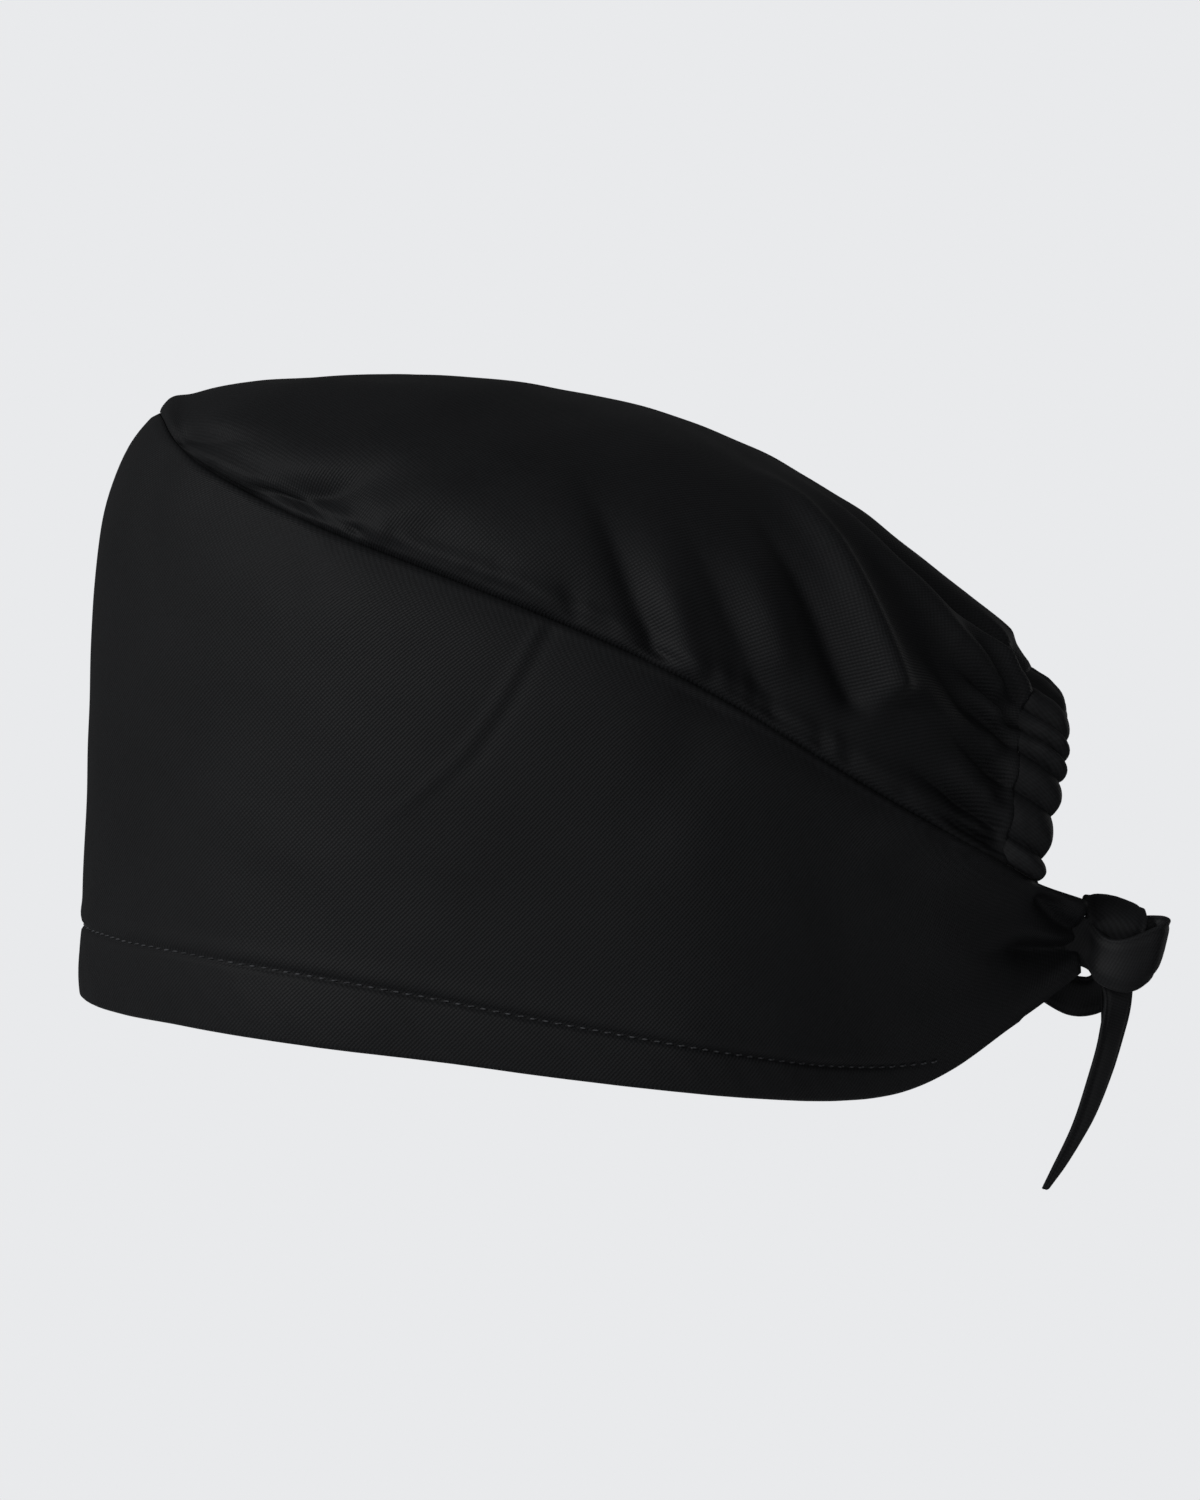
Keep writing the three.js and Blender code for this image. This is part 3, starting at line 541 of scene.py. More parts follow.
def seamPuckers(sign):
    folds = []
    seen = crownStyle["seenPuckers"]
    for k in range(crownStyle["puckersEachSide"]):
        run = seen[k] if k < len(seen) else rng.uniform(0.03, 0.95)
        length = rng.uniform(*crownStyle["puckerLong"])
        sway = rng.normal(0, 0.008)
        path = [(run, sign * 0.999), (run + sway, sign * (0.999 - length))]
        folds.append({"line": foldLine(crownBase, path, 4), "deep": -rng.uniform(*crownStyle["puckerDeep"]),
                      "wide": rng.uniform(*crownStyle["puckerWide"]), "crisp": 1.6})
    return folds


# A valley at each stitch of the elastic and a puff between two of them
def casingGathers(sign):
    folds = []
    ends = gatherEnds[sign]
    for k in range(1, len(ends)):
        side = sideAtGather(sign, ends[k] if k < len(ends) - 1 else 0.97)
        path = [(1.0, side),
                (1 - rng.uniform(0.08, 0.17), side * rng.uniform(0.93, 1.0) + rng.normal(0, 0.015))]
        folds.append({"line": foldLine(crownBase, path, 5), "deep": -rng.uniform(*crownStyle["valleyDeep"]),
                      "wide": rng.uniform(*crownStyle["valleyWide"]), "crisp": 1.4, "hold": 0.25})
        middle = sideAtGather(sign, (ends[k] + ends[k - 1]) / 2)
        path = [(0.985, middle), (1 - rng.uniform(0.05, 0.1), middle * rng.uniform(0.93, 1.0))]
        folds.append({"line": foldLine(crownBase, path, 5), "deep": rng.uniform(*crownStyle["puffHigh"]),
                      "wide": rng.uniform(*crownStyle["puffWide"]), "hold": 0.1, "rise": 0.25})
    return folds


def crownFolds():
    folds = bothSides(halfCrownFolds, crownBase, lambda run, side, sign: (run, side * sign))
    folds.append(dict(topValley, line=foldLine(crownBase, topValley["path"])))
    return folds + seamPuckers(-1) + seamPuckers(1) + casingGathers(-1) + casingGathers(1)


def crownRise(base, normal):
    fromSide = np.minimum(np.linalg.norm(base - base[:, :1], axis=-1),
                          np.linalg.norm(base - base[:, -1:], axis=-1))
    fromFront = np.linalg.norm(base - base[:1], axis=-1)
    fromSeam = np.minimum(fromSide, fromFront) / mm
    fromStitches = np.linalg.norm(base - base[-1:], axis=-1) / mm
    height = foldField(base, normal, crownFolds())
    for wavelength, size, seed in crownStyle["ripples"]:
        height += ripples(base, wavelength * mm, size * mm, seed)
    fadeStart, fadeOver = crownStyle["seamFade"]
    height *= smooth((fromSeam + fadeStart) / fadeOver)
    puff, puffAt, puffWide = crownStyle["seamPuff"]
    height += puff * mm * np.exp(-((fromSeam - puffAt) / puffWide) ** 2)
    roll, rollWide = crownStyle["seamRoll"]
    height -= roll * mm * np.exp(-(fromSeam / rollWide) ** 2)
    hold, holdWide = crownStyle["stitchHold"]
    height *= 1 - hold * np.exp(-(fromStitches / holdWide) ** 2)
    dip, dipWide = crownStyle["stitchDip"]
    height -= dip * mm * np.exp(-(fromStitches / dipWide) ** 2)
    return height


def makeCrown():
    fine = crownStyle["fineFrom"]
    runs, half = [np.concatenate([np.linspace(0, fine, wide), np.linspace(fine, 1, close)[1:]])
                  for wide, close in (crownStyle["rows"], crownStyle["halfColumns"])]
    sides = np.concatenate([-half[:0:-1], half])
    run, side = np.meshgrid(runs, sides, indexing="ij")
    base = crownBase(run, side)
    normal = crownOut(run, side)
    outer = base + normal * crownRise(base, normal)[..., None]
    rear = {"side": sides, "line": outer[-1] - normal[-1] * crownStyle["rearUnder"] * mm}
    # the seam's allowance is tucked in behind the band's edge
    tuck = crownStyle["tuck"] * mm
    outer[:, 0] += (0, 0.7 * tuck, -tuck)
    outer[:, -1] += (0, -0.7 * tuck, -tuck)
    outer[0, 1:-1] += (0.7 * tuck, 0, -tuck)
    inner = outer - normal * crownStyle["cloth"] * mm
    weave = np.stack([-arcLengths(base, 0), arcLengths(base, 1)], axis=-1)
    weave[..., 1] -= weave[:, len(sides) // 2, 1][:, None]
    points = np.concatenate([outer.reshape(-1, 3), inner.reshape(-1, 3)])
    faces = turnOutwards(points, shellFaces(len(runs), len(sides)))
    return makePiece("crownPanel", points, faces, np.stack([weave, weave])), rear


print("side band")
bandStyle = {
    "cloth": 0.75,
    "hem": 2.0,
    "stations": 520,
    "hemRows": 26,
    "clothRows": [(0, 0.06, 8), (0.06, 0.93, 50), (0.93, 1, 12)],  # finer at the stitches and the seam
    "puckersEachSide": 14,
    "puckerDeep": (0.08, 0.25),  # least and most
    "puckerWide": (1.8, 3.4),
    "ripples": [(60, 0.5, 11), (21, 0.12, 12)],  # wavelength and size in mm, seed
    "seamFade": (0.3, 4),
    "seamRoll": (0.9, 1.0),
    "hemPuff": 0.55,
    "clothPuff": (0.4, 3.0, 2.4),  # above the stitches: height, distance, width
    "groove": (1.0, 0.75),  # along the stitches: depth, width
    "halfLong": 300,
    "rope": 0.07,  # the hem is twisted a little, as a turned hem is
    "ropePitch": 11,
    "stitchPitch": 3.1,
    "stitchLength": 2.1,
    "threadWide": 0.5,
}

# Folds of one half: station and height at each point of the path, deep and wide in mm
halfBandFolds = [
    {"path": [(0.527, 0.99), (0.483, 0.775), (0.45, 0.637), (0.397, 0.5), (0.37, 0.46)],
     "deep": 0.45, "wide": 1.2, "hold": 0.6},
    {"path": [(0.536, 0.985), (0.492, 0.77), (0.459, 0.63), (0.405, 0.49)],
     "deep": -0.36, "wide": 1.6, "crisp": 1.6, "hold": 0.5},
    {"path": [(1.0, 0.36), (0.965, 0.43), (0.93, 0.48), (0.88, 0.52)],
     "deep": -5.6, "wide": 3.9, "crisp": 1.5, "hold": 0.35},
    {"path": [(1.0, 0.47), (0.98, 0.54), (0.955, 0.6), (0.92, 0.64)], "deep": 1.6, "wide": 2.4, "hold": 0.3},
    {"path": [(1.0, 0.25), (0.975, 0.17), (0.95, 0.14), (0.91, 0.14)], "deep": 1.4, "wide": 2.0, "hold": 0.4},
    {"path": [(1.0, 0.56), (0.985, 0.68), (0.972, 0.86), (0.966, 0.98)],
     "deep": -4.8, "wide": 2.8, "crisp": 1.5, "hold": 0.7},
    {"path": [(1.0, 0.5), (0.9, 0.36), (0.82, 0.3), (0.72, 0.28)], "deep": -1.2, "wide": 6, "rise": 0.2},
    {"path": [(0.99, 0.7), (0.9, 0.72), (0.78, 0.78), (0.68, 0.86)], "deep": -1.1, "wide": 7, "rise": 0.2},
    {"path": [(0.12, 0.96), (0.16, 0.8), (0.22, 0.66)], "deep": -0.9, "wide": 6},
    {"path": [(0.3, 0.97), (0.31, 0.84), (0.33, 0.7)], "deep": -0.6, "wide": 5},
    {"path": [(0.66, 0.97), (0.64, 0.8), (0.6, 0.6), (0.58, 0.42)], "deep": -0.8, "wide": 9},
    {"path": [(0.84, 0.96), (0.8, 0.8), (0.77, 0.66)], "deep": 0.8, "wide": 6},
]


def bandPuckers(sign):
    folds = []
    for _ in range(bandStyle["puckersEachSide"]):
        at = rng.uniform(0.05, 0.95)
        path = [(sign * at, 0.995), (sign * (at + rng.normal(0, 0.01)), 0.995 - rng.uniform(0.03, 0.08))]
        folds.append({"line": foldLine(bandBase, path, 4), "deep": -rng.uniform(*bandStyle["puckerDeep"]),
                      "wide": rng.uniform(*bandStyle["puckerWide"]), "crisp": 1.6})
    return folds


def bandReach(station):
    return np.linalg.norm(seamPoint(station) - rimPoint(station), axis=-1)


# Folds, then the rolled seam above, and below it the stitch line's groove and the puffed hem
def bandRise(station, height, base, normal):
    folds = bothSides(halfBandFolds, bandBase, lambda at, high, sign: (at * sign, high))
    rise = foldField(base, normal, folds + bandPuckers(-1) + bandPuckers(1))
    for wavelength, size, seed in bandStyle["ripples"]:
        rise += ripples(base, wavelength * mm, size * mm, seed)
    reach = bandReach(station)
    fromSeam = (1 - height) * reach / mm
    hemLine = readColumn(bandShape, "station", "hem", np.abs(station), True)
    fromStitch = (height - hemLine) * reach / mm
    hemTall = hemLine * reach / mm
    fadeStart, fadeOver = bandStyle["seamFade"]
    rise *= smooth((fromSeam + fadeStart) / fadeOver)
    roll, rollWide = bandStyle["seamRoll"]
    rise -= roll * mm * np.exp(-(fromSeam / rollWide) ** 2)
    live = smooth((hemTall - 4) / 6)  # the hem runs out where it narrows towards the necks
    inHem = np.clip(-fromStitch / np.maximum(hemTall, 1), 0, 1)
    rise += live * bandStyle["hemPuff"] * mm * np.sin(math.pi * inHem) ** 0.8
    puff, puffAt, puffWide = bandStyle["clothPuff"]
    rise += live * puff * mm * np.exp(-((fromStitch - puffAt) / puffWide) ** 2)
    groove, grooveWide = bandStyle["groove"]
    rise -= live * groove * mm * np.exp(-(fromStitch / grooveWide) ** 2)
    along = np.abs(station) * bandStyle["halfLong"]
    turn = (along + fromStitch * 0.8) * 2 * math.pi / bandStyle["ropePitch"]
    rope = np.sin(turn + 2 * np.sin(along / 17))
    rise += live * bandStyle["rope"] * mm * rope * np.sin(math.pi * inHem) ** 0.5 * (inHem > 0)
    return rise


def makeBand():
    stations = np.linspace(-1, 1, bandStyle["stations"] + 1)
    hem = readColumn(bandShape, "station", "hem", np.abs(stations), True)
    reach = bandReach(stations)
    radius = bandStyle["hem"] * mm / 2
    start = radius / reach
    hemRows = np.linspace(0, 1, bandStyle["hemRows"])
    clothRows = np.concatenate([np.linspace(*part)[1:] for part in bandStyle["clothRows"]])
    stitchAt = len(hemRows) - 1
    hemTop = np.maximum(hem, start)
    rows = np.concatenate([start[:, None] + (hem - start)[:, None].clip(0) * hemRows[None],
                           hemTop[:, None] + (1 - hemTop)[:, None] * clothRows[None]], axis=1)
    station = np.repeat(stations[:, None], rows.shape[1], axis=1)
    base = bandBase(station, rows)
    normal = bandOut(station, rows)
    outer = base + normal * bandRise(station, rows, base, normal)[..., None]
    weave = np.stack([arcLengths(base, 0), arcLengths(base, 1)], axis=-1)
    weave[..., 0] -= weave[len(stations) // 2, :, 0][None]
    # the hem rolls round the rim, runs up inside to its stitches, and steps back to the single cloth
    up = unit(outer[:, 2] - outer[:, 0])
    out = normal[:, 0]
    centre = outer[:, 0] - out * radius
    turns = np.linspace(math.pi, 0, 9)[1:-1]
    cos, sin = np.cos(turns)[None, :, None], np.sin(turns)[None, :, None]
    roll = centre[:, None] + radius * (out[:, None] * cos - up[:, None] * sin)
    hemPart = list(range(0, stitchAt, 3)) + [stitchAt + 1, stitchAt + 2]
    last = rows.shape[1] - 1
    clothPart = [stitchAt + 2, stitchAt + 4, stitchAt + 7, *range(stitchAt + 11, last, 3), last]
    inHem = outer[:, hemPart] - normal[:, hemPart] * bandStyle["hem"] * mm
    inCloth = outer[:, clothPart] - normal[:, clothPart] * bandStyle["cloth"] * mm
    profile = np.concatenate([outer[:, ::-1], roll[:, ::-1], inHem, inCloth], axis=1)
    rollWeave = np.stack([weave[:, 0, :]] * roll.shape[1], axis=1)
    cover = np.concatenate([weave[:, ::-1], rollWeave, weave[:, hemPart], weave[:, clothPart]], axis=1)
    points = profile.reshape(-1, 3)
    faces = turnOutwards(points, tubeFaces(*profile.shape[:2]))
    band = makePiece("sideBand", points, faces, cover)
    return band, {"line": outer[:, stitchAt], "normal": normal[:, stitchAt],
                  "inside": inHem[:, len(hemPart) - 3], "live": smooth((hem * reach / mm - 3) / 3)}


# A row of short stitches whose ends dip into the cloth
def stitchRow(name, line, normal, live):
    pitch, length = bandStyle["stitchPitch"] * mm, bandStyle["stitchLength"] * mm
    wide = bandStyle["threadWide"] * mm
    arc = arcLengths(line, 0)
    rings, sides = 6, 6
    t = np.linspace(-1, 1, rings)
    angle = np.linspace(0, 2 * math.pi, sides, endpoint=False)
    cos, sin = np.cos(angle)[None, :, None], np.sin(angle)[None, :, None]
    size = (wide / 2 * np.sqrt(np.clip(1.02 - t ** 4, 0, 1)))[:, None, None]
    allPoints, allFaces = [], []
    at = pitch
    while at < arc[-1] - pitch:
        if np.interp(at, arc, live) > 0.5:
            spots = np.linspace(at, at + length, rings)
            path = np.stack([np.interp(spots, arc, line[:, k]) for k in range(3)], axis=-1)
            up = unit(np.stack([np.interp(spots, arc, normal[:, k]) for k in range(3)], axis=-1))
            path = path + up * (wide * (0.75 - 1.5 * t ** 4))[:, None]
            along = unit(path[-1] - path[0])
            path = path + np.cross(up, along) * (wide * 0.35 * t)[:, None]
            side = unit(np.cross(up, along))
            ring = path[:, None] + side[:, None] * (cos * size) + up[:, None] * (sin * size)
            start = len(allPoints) * rings * sides
            faces = turnOutwards(ring.reshape(-1, 3), tubeFaces(rings, sides))
            allFaces += [[index + start for index in face] for face in faces]
            allPoints.append(ring.reshape(-1, 3))
        at += pitch
    return makePiece(name, np.concatenate(allPoints), allFaces)


print("back casing")
casingStyle = {
    "thick": 7.4,
    "pinch": 0.12,  # how much of the thickness is left at a crease
    "slant": 0.8,
    "narrowing": 0.76,
    "notch": 0.25,
    "wider": 1.12,
    "tucked": 1.2,
    "puffSizes": (0.8, 1.15),  # least and most
    "fuller": 0.35,  # towards the free edge
    "ripples": (6, 0.16, 31),
    "stations": 520,
    "sides": 40,
}


def makeCasing(rear):
    side = np.linspace(-1, 1, casingStyle["stations"])
    stitch = crownBase(np.ones_like(side), side)
    free = place(readColumn(casingEdge, "side", "along", np.abs(side)), 0,
                 readColumn(casingEdge, "side", "down", np.abs(side)))
    free[:, 1] = stitch[:, 1] * casingStyle["narrowing"]
    arc = arcLengths(stitch, 0)
    fromTop = arc - arc[-1] / 2
    across = free - stitch
    wide = np.linalg.norm(across, axis=-1)
    across = unit(across)
    out = unit(np.cross(unit(np.gradient(stitch, axis=0)), across))
    insideCap = place(0.45, 0, 0.6)
    out = np.where((np.sum(out * (stitch - insideCap), axis=-1) < 0)[:, None], -out, out)
    sides = casingStyle["sides"]
    angle = np.linspace(0, 2 * math.pi, sides, endpoint=False)
    u, v = -np.cos(angle), np.sin(angle)  # u runs from the stitches (-1) to the free edge (1)
    # the creases between the puffed lobes slant from the stitches down towards the free edge
    lobe = np.zeros((len(side), sides))
    size = np.zeros((len(side), sides))
    for sign in (-1, 1):
        ends = gatherEnds[sign] * arc[-1] / 2
        tall = rng.uniform(*casingStyle["puffSizes"], len(ends) + 2)
        mine = fromTop * sign >= 0
        at = np.abs(fromTop[mine])[:, None] - casingStyle["slant"] * mm * ((u[None] + 1) / 2) ** 1.3
        beat = np.interp(np.abs(at), ends, np.arange(len(ends))) * np.sign(at)
        lobe[mine] = np.abs(np.sin(beat * math.pi)) ** 0.7
        size[mine] = np.interp(beat, np.arange(len(tall)) - 0.5, tall)
    wide = wide * (1 + (casingStyle["wider"] - 1) * np.sin(math.pi * np.abs(side)))
    deep = (wide / 2)[:, None] * (1 - casingStyle["notch"] * (1 - lobe) * (u[None] > 0))
    pinch = casingStyle["pinch"]
    thick = casingStyle["thick"] * mm / 2 * (pinch + (1 - pinch) * lobe) * size
    middle = stitch + across * (wide / 2)[:, None]
    # the front edge follows the crown's gathered rear edge and starts just under it
    sewn = np.stack([np.interp(side, rear["side"], rear["line"][:, k]) for k in range(3)], axis=-1)
    sewn = sewn - across * casingStyle["tucked"] * mm - stitch
    push = np.sign(v) * np.abs(v) ** 1.25 * (1 + casingStyle["fuller"] * u)
    ring = (middle[:, None] + across[:, None] * (u[None, :] * deep)[..., None]
            + out[:, None] * (push[None, :] * thick - cap["wall"] / 2 * 0.8)[..., None])
    ring = ring + sewn[:, None] * (((1 - u) / 2) ** 2)[None, :, None]
    wavelength, height, seed = casingStyle["ripples"]
    uneven = ripples(ring, wavelength * mm, height * mm, seed) * np.abs(v)[None]
    ring = ring + out[:, None] * uneven[..., None]
    points = ring.reshape(-1, 3)
    faces = turnOutwards(points, tubeFaces(len(side), sides))
    weave = np.stack([np.repeat(arc[:, None], sides, axis=1),
                      np.repeat((angle * 4 * mm)[None], len(side), axis=0)], axis=-1)
    return makePiece("elasticCasing", points, faces, weave)


print("ties")
tieStyle = {
    "width": 13.5,
    "layer": 4.3,  # from one layer of the knot to the next
    "thick": 4.0,
    "back": 260.5,  # the knot's middle, from the band's front and from the cap's top
    "drop": 142.5,
    "steps": 260,
    "sides": 40,
    "startUnder": 7.2,  # a strap starts this far behind the neck's face
    "startBefore": 2.2,  # and this far before the neck's end
    "startWide": 0.7,
    "startThick": 0.5,
    "section": (0.7, 0.62),  # powers that make the round section nearly flat
    "creases": 5,
    "creaseTurns": (2.2, 5.5),
    "creaseDrift": 14,  # a crease wanders across the strap in about this length
    "creaseDeep": 0.42,
    "creaseLeft": 0.28,  # what is left of the creases on the hanging end
    "tail": (0.45, 0.15),  # share of the length where the hanging end begins, and how softly
    "seamDeep": 0.35,  # the dip along both stitched edges
    "thinnest": 0.12,
    "bow": 0.5,
}
# Each row is a place on the strap's path, in strap widths back and up from the knot's middle and in
# layers to the side, with the strap's tilt and yaw in degrees and its width and thickness as shares
tieNames = "along up layer tilt yaw wide thick"
leftRoute = [
    (-0.6, 0.04, -2.15, 4, 0, 0.9, 0.85),
    (-0.36, -0.22, -2.9, 8, 0, 0.88, 0.95), (-0.04, -0.3, -3.25, 5, 0, 0.99, 0.95),
    (0.3, -0.22, -3.15, 9, 0, 1.1, 0.85), (0.58, -0.08, -2.85, 16, 0, 1.12, 0.6),
    (0.7, 0.03, -2, 20, 0, 1.06, 0.5), (0.55, 0.14, -1.05, 18, 0, 0.92, 0.7),
    (0.22, 0.12, -0.95, -8, 0, 0.8, 0.8), (-0.06, -0.25, -0.9, -52, 0, 0.7, 0.75),
    (-0.12, -0.85, -0.5, -82, 0, 0.54, 0.6), (-0.16, -1.45, 0.1, -92, -30, 0.5, 0.5),
    (-0.32, -2.1, 0.3, -100, -40, 0.36, 0.45),
]
rightRoute = [
    (-0.95, -0.98, 2.85, 0, 0, 0.76, 0.8), (-0.5, -0.98, 2.6, -14, 0, 0.72, 0.85),
    (-0.18, -0.7, 1.9, -52, 0, 0.68, 0.85), (-0.05, -0.3, 0.9, -78, 0, 0.74, 0.85),
    (-0.09, 0.1, 0.3, -88, 0, 1.2, 0.9), (-0.12, 0.48, 0.05, -80, 0, 1.14, 0.9),
    (-0.16, 0.76, -0.95, -76, 0, 1.2, 1.1), (-0.12, 0.46, -2.1, -80, 0, 1.16, 1.0),
    (-0.14, 0.02, -2.05, -90, 0, 0.76, 0.8), (-0.12, -0.5, -2.05, -92, 0, 0.62, 0.8),
    (-0.1, -0.94, -1.95, -95, -24, 0.56, 0.7), (-0.22, -1.6, -1.85, -100, -46, 0.7, 0.55),
    (-0.44, -2.4, -1.7, -105, -50, 0.74, 0.55), (-0.74, -3.25, -1.6, -110, -48, 0.62, 0.55),
    (-1.13, -4.0, -1.5, -116, -40, 0.4, 0.5), (-1.41, -4.46, -1.4, -120, -30, 0.14, 0.4),
]


# Centripetal Catmull-Rom curve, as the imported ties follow
def throughPoints(points, share):
    count = len(points)
    at = share * (count - 1)
    i = np.clip(np.floor(at).astype(int), 0, count - 2)
    w = (at - i)[:, None]
    before = np.where((i > 0)[:, None], points[np.maximum(i - 1, 0)], 2 * points[0] - points[1])
    p1, p2 = points[i], points[i + 1]
    after = np.where((i < count - 2)[:, None], points[np.minimum(i + 2, count - 1)],
                     2 * points[-1] - points[-2])
    d0 = np.sum((p1 - before) ** 2, axis=-1)[:, None] ** 0.25
    d1 = np.sum((p2 - p1) ** 2, axis=-1)[:, None] ** 0.25
    d2 = np.sum((after - p2) ** 2, axis=-1)[:, None] ** 0.25
    t1 = ((p1 - before) / d0 - (p2 - before) / (d0 + d1) + (p2 - p1) / d1) * d1
    t2 = ((p2 - p1) / d1 - (after - p1) / (d1 + d2) + (after - p2) / d2) * d1
    return (p1 + t1 * w + (-3 * p1 + 3 * p2 - 2 * t1 - t2) * w ** 2
            + (2 * p1 - 2 * p2 + t1 + t2) * w ** 3)


def makeTie(name, sign, route, seed):
    width = tieStyle["width"] * mm
    rows = table(tieNames, route)
    knot = place(tieStyle["back"] * mm / cap["length"], 0, tieStyle["drop"] * mm / cap["height"])
    centres = knot + np.stack([rows["along"] * width, rows["layer"] * tieStyle["layer"] * mm,
                               rows["up"] * width], axis=-1)
    neckTop, neckLow = bandBase(sign * 1.0, 1.0), bandBase(sign * 1.0, 0.0)
    out = bandOut(sign * 1.0, 0.5)
    leave = unit(np.cross(out, unit(neckTop - neckLow)) * sign)
    start = ((neckTop + neckLow) / 2 - out * tieStyle["startUnder"] * mm
             - leave * tieStyle["startBefore"] * mm)
    centres = np.vstack([start, centres])
    keyed = {n: np.concatenate([[0], rows[n]]) for n in ("tilt", "yaw", "wide", "thick")}
    keyed["tilt"][0] = math.degrees(math.atan2(neckTop[0] - neckLow[0], neckTop[2] - neckLow[2]))
    keyed["wide"][0] = np.linalg.norm(neckTop - neckLow) / width * tieStyle["startWide"]
    keyed["thick"][0] = tieStyle["startThick"]
    keyed["key"] = np.arange(len(centres)).astype(float)
    share = np.linspace(0, 1, tieStyle["steps"])
    centre = throughPoints(centres, share)
    forward = unit(np.gradient(centre, axis=0))
    at = share * (len(centres) - 1)
    tilt, yaw, wide, thick = [readColumn(keyed, "key", n, at) for n in ("tilt", "yaw", "wide", "thick")]
    tilt, yaw = np.radians(tilt), np.radians(yaw)
    flat = np.stack([np.sin(tilt) * np.cos(yaw), np.sin(yaw), np.cos(tilt) * np.cos(yaw)], axis=-1)
    deep = unit(np.cross(forward, flat))
    arc = arcLengths(centre, 0)
    angle = np.linspace(0, 2 * math.pi, tieStyle["sides"], endpoint=False)
    c, s = np.cos(angle), np.sin(angle)
    acrossPower, throughPower = tieStyle["section"]
    x = np.sign(c) * np.abs(c) ** acrossPower
    y = np.sign(s) * np.abs(s) ** throughPower
    halfWide = wide * width / 2
    halfThick = thick * tieStyle["thick"] * mm / 2
    # long creases where the strap is squeezed in the knot, flat again along the tail
    tailAt, tailOver = tieStyle["tail"]
    tail = smooth((arc - arc[-1] * tailAt) / (arc[-1] * tailOver))
    waves = np.random.default_rng(seed)
    crease = np.zeros((len(share), len(angle)))
    for _ in range(tieStyle["creases"]):
        turn = waves.uniform(*tieStyle["creaseTurns"])
        drift = waves.uniform(-1, 1) / (tieStyle["creaseDrift"] * mm)
        phase = waves.uniform(0, 6.28)
        crease += np.sin(turn * x[None] + drift * arc[:, None] + phase) / 2.6
    creaseDeep = tieStyle["creaseDeep"] * mm * (1 - (1 - tieStyle["creaseLeft"]) * tail)
    seam = tieStyle["seamDeep"] * mm * np.exp(-((np.abs(x)[None] - 0.8) / 0.1) ** 2)
    body = (np.abs(y)[None] * halfThick[:, None] + crease * creaseDeep[:, None] * (np.abs(s) > 0.05)[None]
            - seam * (halfThick > 0.6 * mm)[:, None])
    body = np.maximum(body, tieStyle["thinnest"] * mm) * (np.abs(s) > 0.02)[None]
    bow = tieStyle["bow"] * mm * (x[None] ** 2 - 0.4) * np.sin(arc / (19 * mm) + seed)[:, None]
    ring = (centre[:, None] + flat[:, None] * (x[None] * halfWide[:, None])[..., None]
            + deep[:, None] * (np.sign(s)[None] * body + bow)[..., None])
    points = ring.reshape(-1, 3)
    faces = turnOutwards(points, tubeFaces(len(share), len(angle)))
    weave = np.stack([np.repeat(arc[:, None], len(angle), axis=1), arcLengths(ring, 1)], axis=-1)
    return makePiece(name, points, faces, weave)


crown, crownRear = makeCrown()
sideBand, hemRow = makeBand()
hemStitches = stitchRow("hemStitches", hemRow["line"], hemRow["normal"], hemRow["live"])
hemStitchesInside = stitchRow("hemStitchesInside", hemRow["inside"], -hemRow["normal"], hemRow["live"])
casing = makeCasing(crownRear)
leftTie = makeTie("leftTie", -1, leftRoute, 3)
rightTie = makeTie("rightTie", 1, rightRoute, 7)

print("finishes")
bodyCloth = twillCloth("blackTwill", twill)
tieCloth = twillCloth("blackTwillTies", tightTwill)
spun = sewingThread()
for piece, material, slotName, nodes in (
    (crown, bodyCloth, "crown_cloth", ["crown"]),
    (sideBand, bodyCloth, "band_cloth", ["side_band", "hem_fold"]),
    (casing, tieCloth, "casing_cloth", ["back_casing"]),
    (leftTie, tieCloth, "tie_cloth", ["left_tie"]),
    (rightTie, tieCloth, "tie_cloth", ["right_tie"]),
    (hemStitches, spun, "hem_cloth", []),
    (hemStitchesInside, spun, "hem_cloth", []),
):
    piece.data.materials.append(material)
    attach(piece, "root")
    if nodes:
        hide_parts(*nodes)

print("studio")
studio = {
    "target": (0.030, 0.0, -0.0921),
    "distance": 3.0,
    "elevation": 3.0,
    "lens": 288.0,
    "sensor": 36.0,
    "background": "#e9eaec",
    "worldLight": 0.12,
    "floorColour": "#e6e7e9",
    "floorRoughness": 0.9,
    "floorDown": -0.45,
    "floorRadius": 0.9,
    "floorSides": 96,
    "lights": [  # name, place, size in metres, watts
        ("keyLight", (-1.8, -1.7, 1.35), 0.7, 39),
        ("sideLight", (-2.4, 0.5, 0.35), 0.6, 3),
        ("fillLight", (0.4, -2.6, 0.5), 1.2, 7.5),
        ("rearLight", (1.9, 1.7, -0.05), 0.9, 3.5),
    ],
}
aim = Vector(studio["target"])
lift = math.radians(studio["elevation"])
cameraData = bpy.data.cameras.new("camera")
cameraData.sensor_fit = "VERTICAL"
cameraData.sensor_height = studio["sensor"]
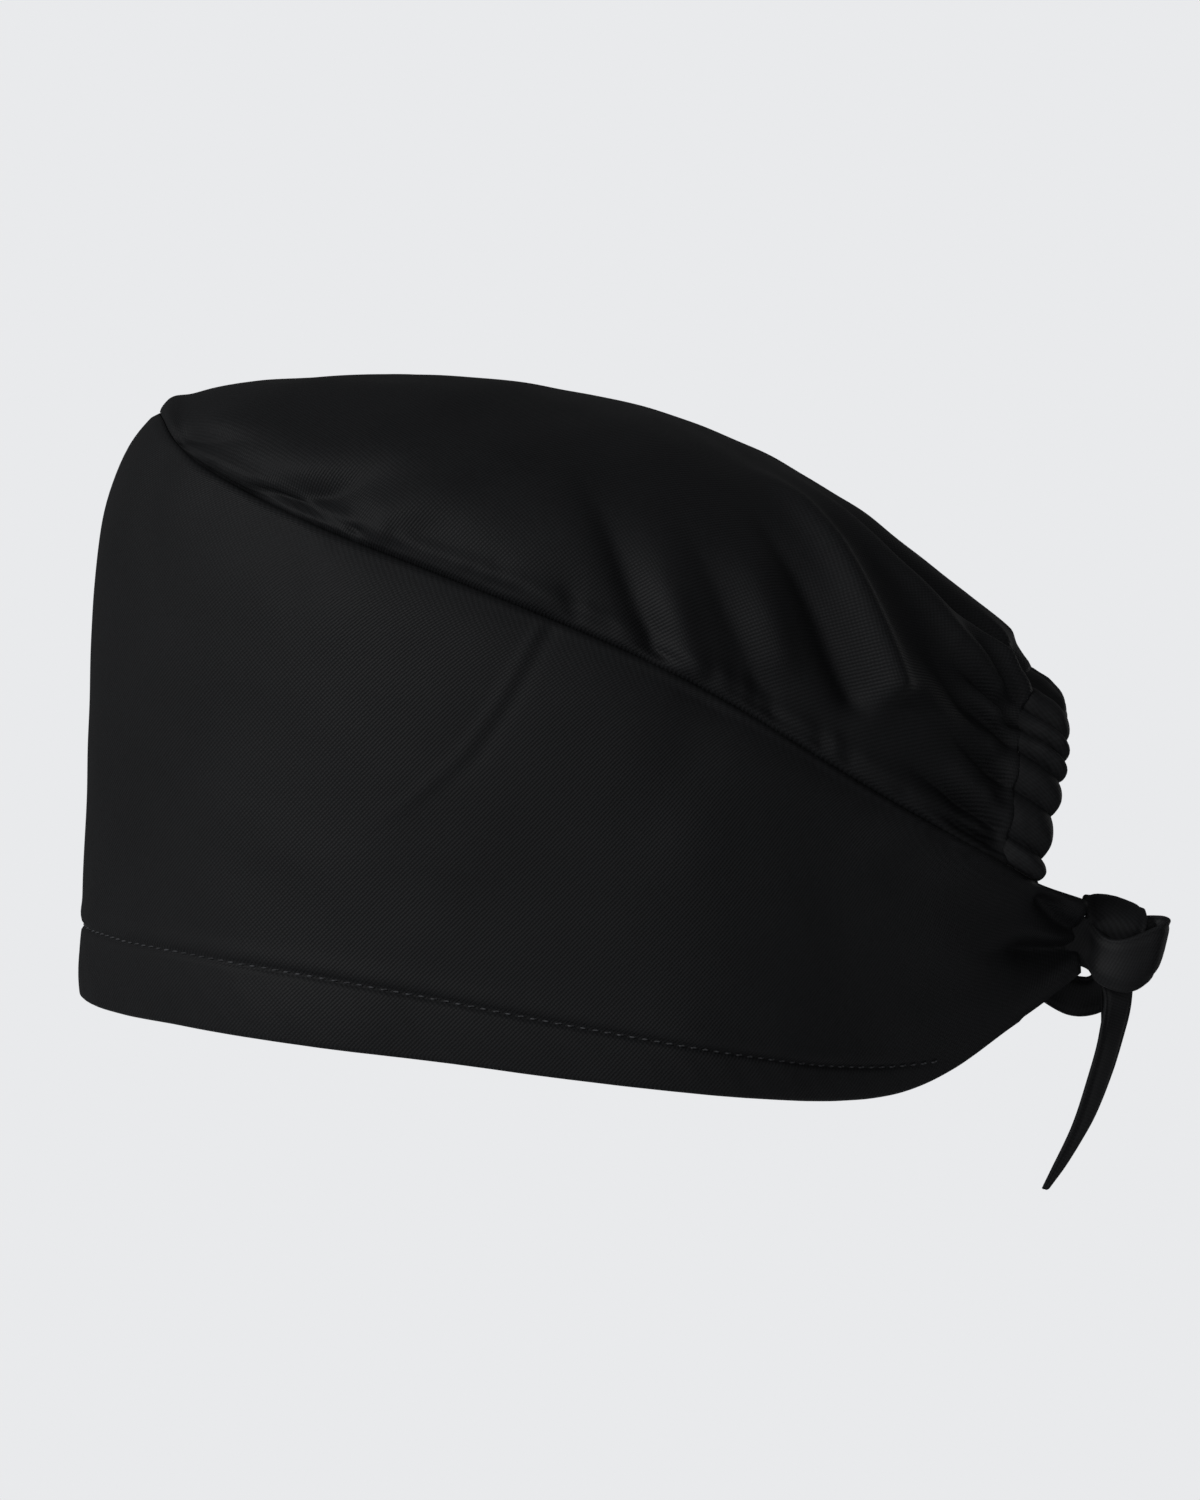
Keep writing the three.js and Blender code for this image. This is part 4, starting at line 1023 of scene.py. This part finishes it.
cameraData.sensor_width = studio["sensor"]
cameraData.lens = studio["lens"]
camera = bpy.data.objects.new("camera", cameraData)
camera.location = aim + studio["distance"] * Vector((0, -math.cos(lift), math.sin(lift)))
camera.rotation_euler = (aim - camera.location).to_track_quat("-Z", "Y").to_euler()
bpy.context.collection.objects.link(camera)
bpy.context.scene.camera = camera
bpy.context.scene.view_settings.view_transform = "Standard"

world = bpy.data.worlds.new("paleStudio")
world.use_nodes = True
tree = world.node_tree
tree.nodes.clear()
paper = hexLinear(studio["background"])
seen = addNode(tree, "ShaderNodeBackground", {"Color": paper, "Strength": 1.0})
lit = addNode(tree, "ShaderNodeBackground", {"Color": paper, "Strength": studio["worldLight"]})
rays = addNode(tree, "ShaderNodeLightPath")
mixed = addNode(tree, "ShaderNodeMixShader", None,
                {0: rays.outputs["Is Camera Ray"], 1: lit.outputs[0], 2: seen.outputs[0]})
addNode(tree, "ShaderNodeOutputWorld", None, {"Surface": mixed.outputs[0]})
bpy.context.scene.world = world


def softLight(name, spot, size, power):
    light = bpy.data.lights.new(name, "AREA")
    light.shape = "DISK"
    light.size = size
    light.energy = power
    lamp = bpy.data.objects.new(name, light)
    lamp.location = spot
    lamp.rotation_euler = (aim - lamp.location).to_track_quat("-Z", "Y").to_euler()
    bpy.context.collection.objects.link(lamp)


for light in studio["lights"]:
    softLight(*light)

around = np.arange(studio["floorSides"]) * 2 * math.pi / studio["floorSides"]
floorPoints = np.stack([studio["floorRadius"] * np.cos(around), studio["floorRadius"] * np.sin(around),
                        np.full(len(around), studio["floorDown"])], axis=-1)
floor = makePiece("paleFloor", floorPoints, [list(range(len(floorPoints)))])
# Matt painted board: pale and even, with no shine of its own
floorMaterial = bpy.data.materials.new("paleBoard")
floorMaterial.use_nodes = True
floorShader = floorMaterial.node_tree.nodes["Principled BSDF"]
floorShader.inputs["Base Color"].default_value = hexLinear(studio["floorColour"])
floorShader.inputs["Roughness"].default_value = studio["floorRoughness"]
floor.data.materials.append(floorMaterial)
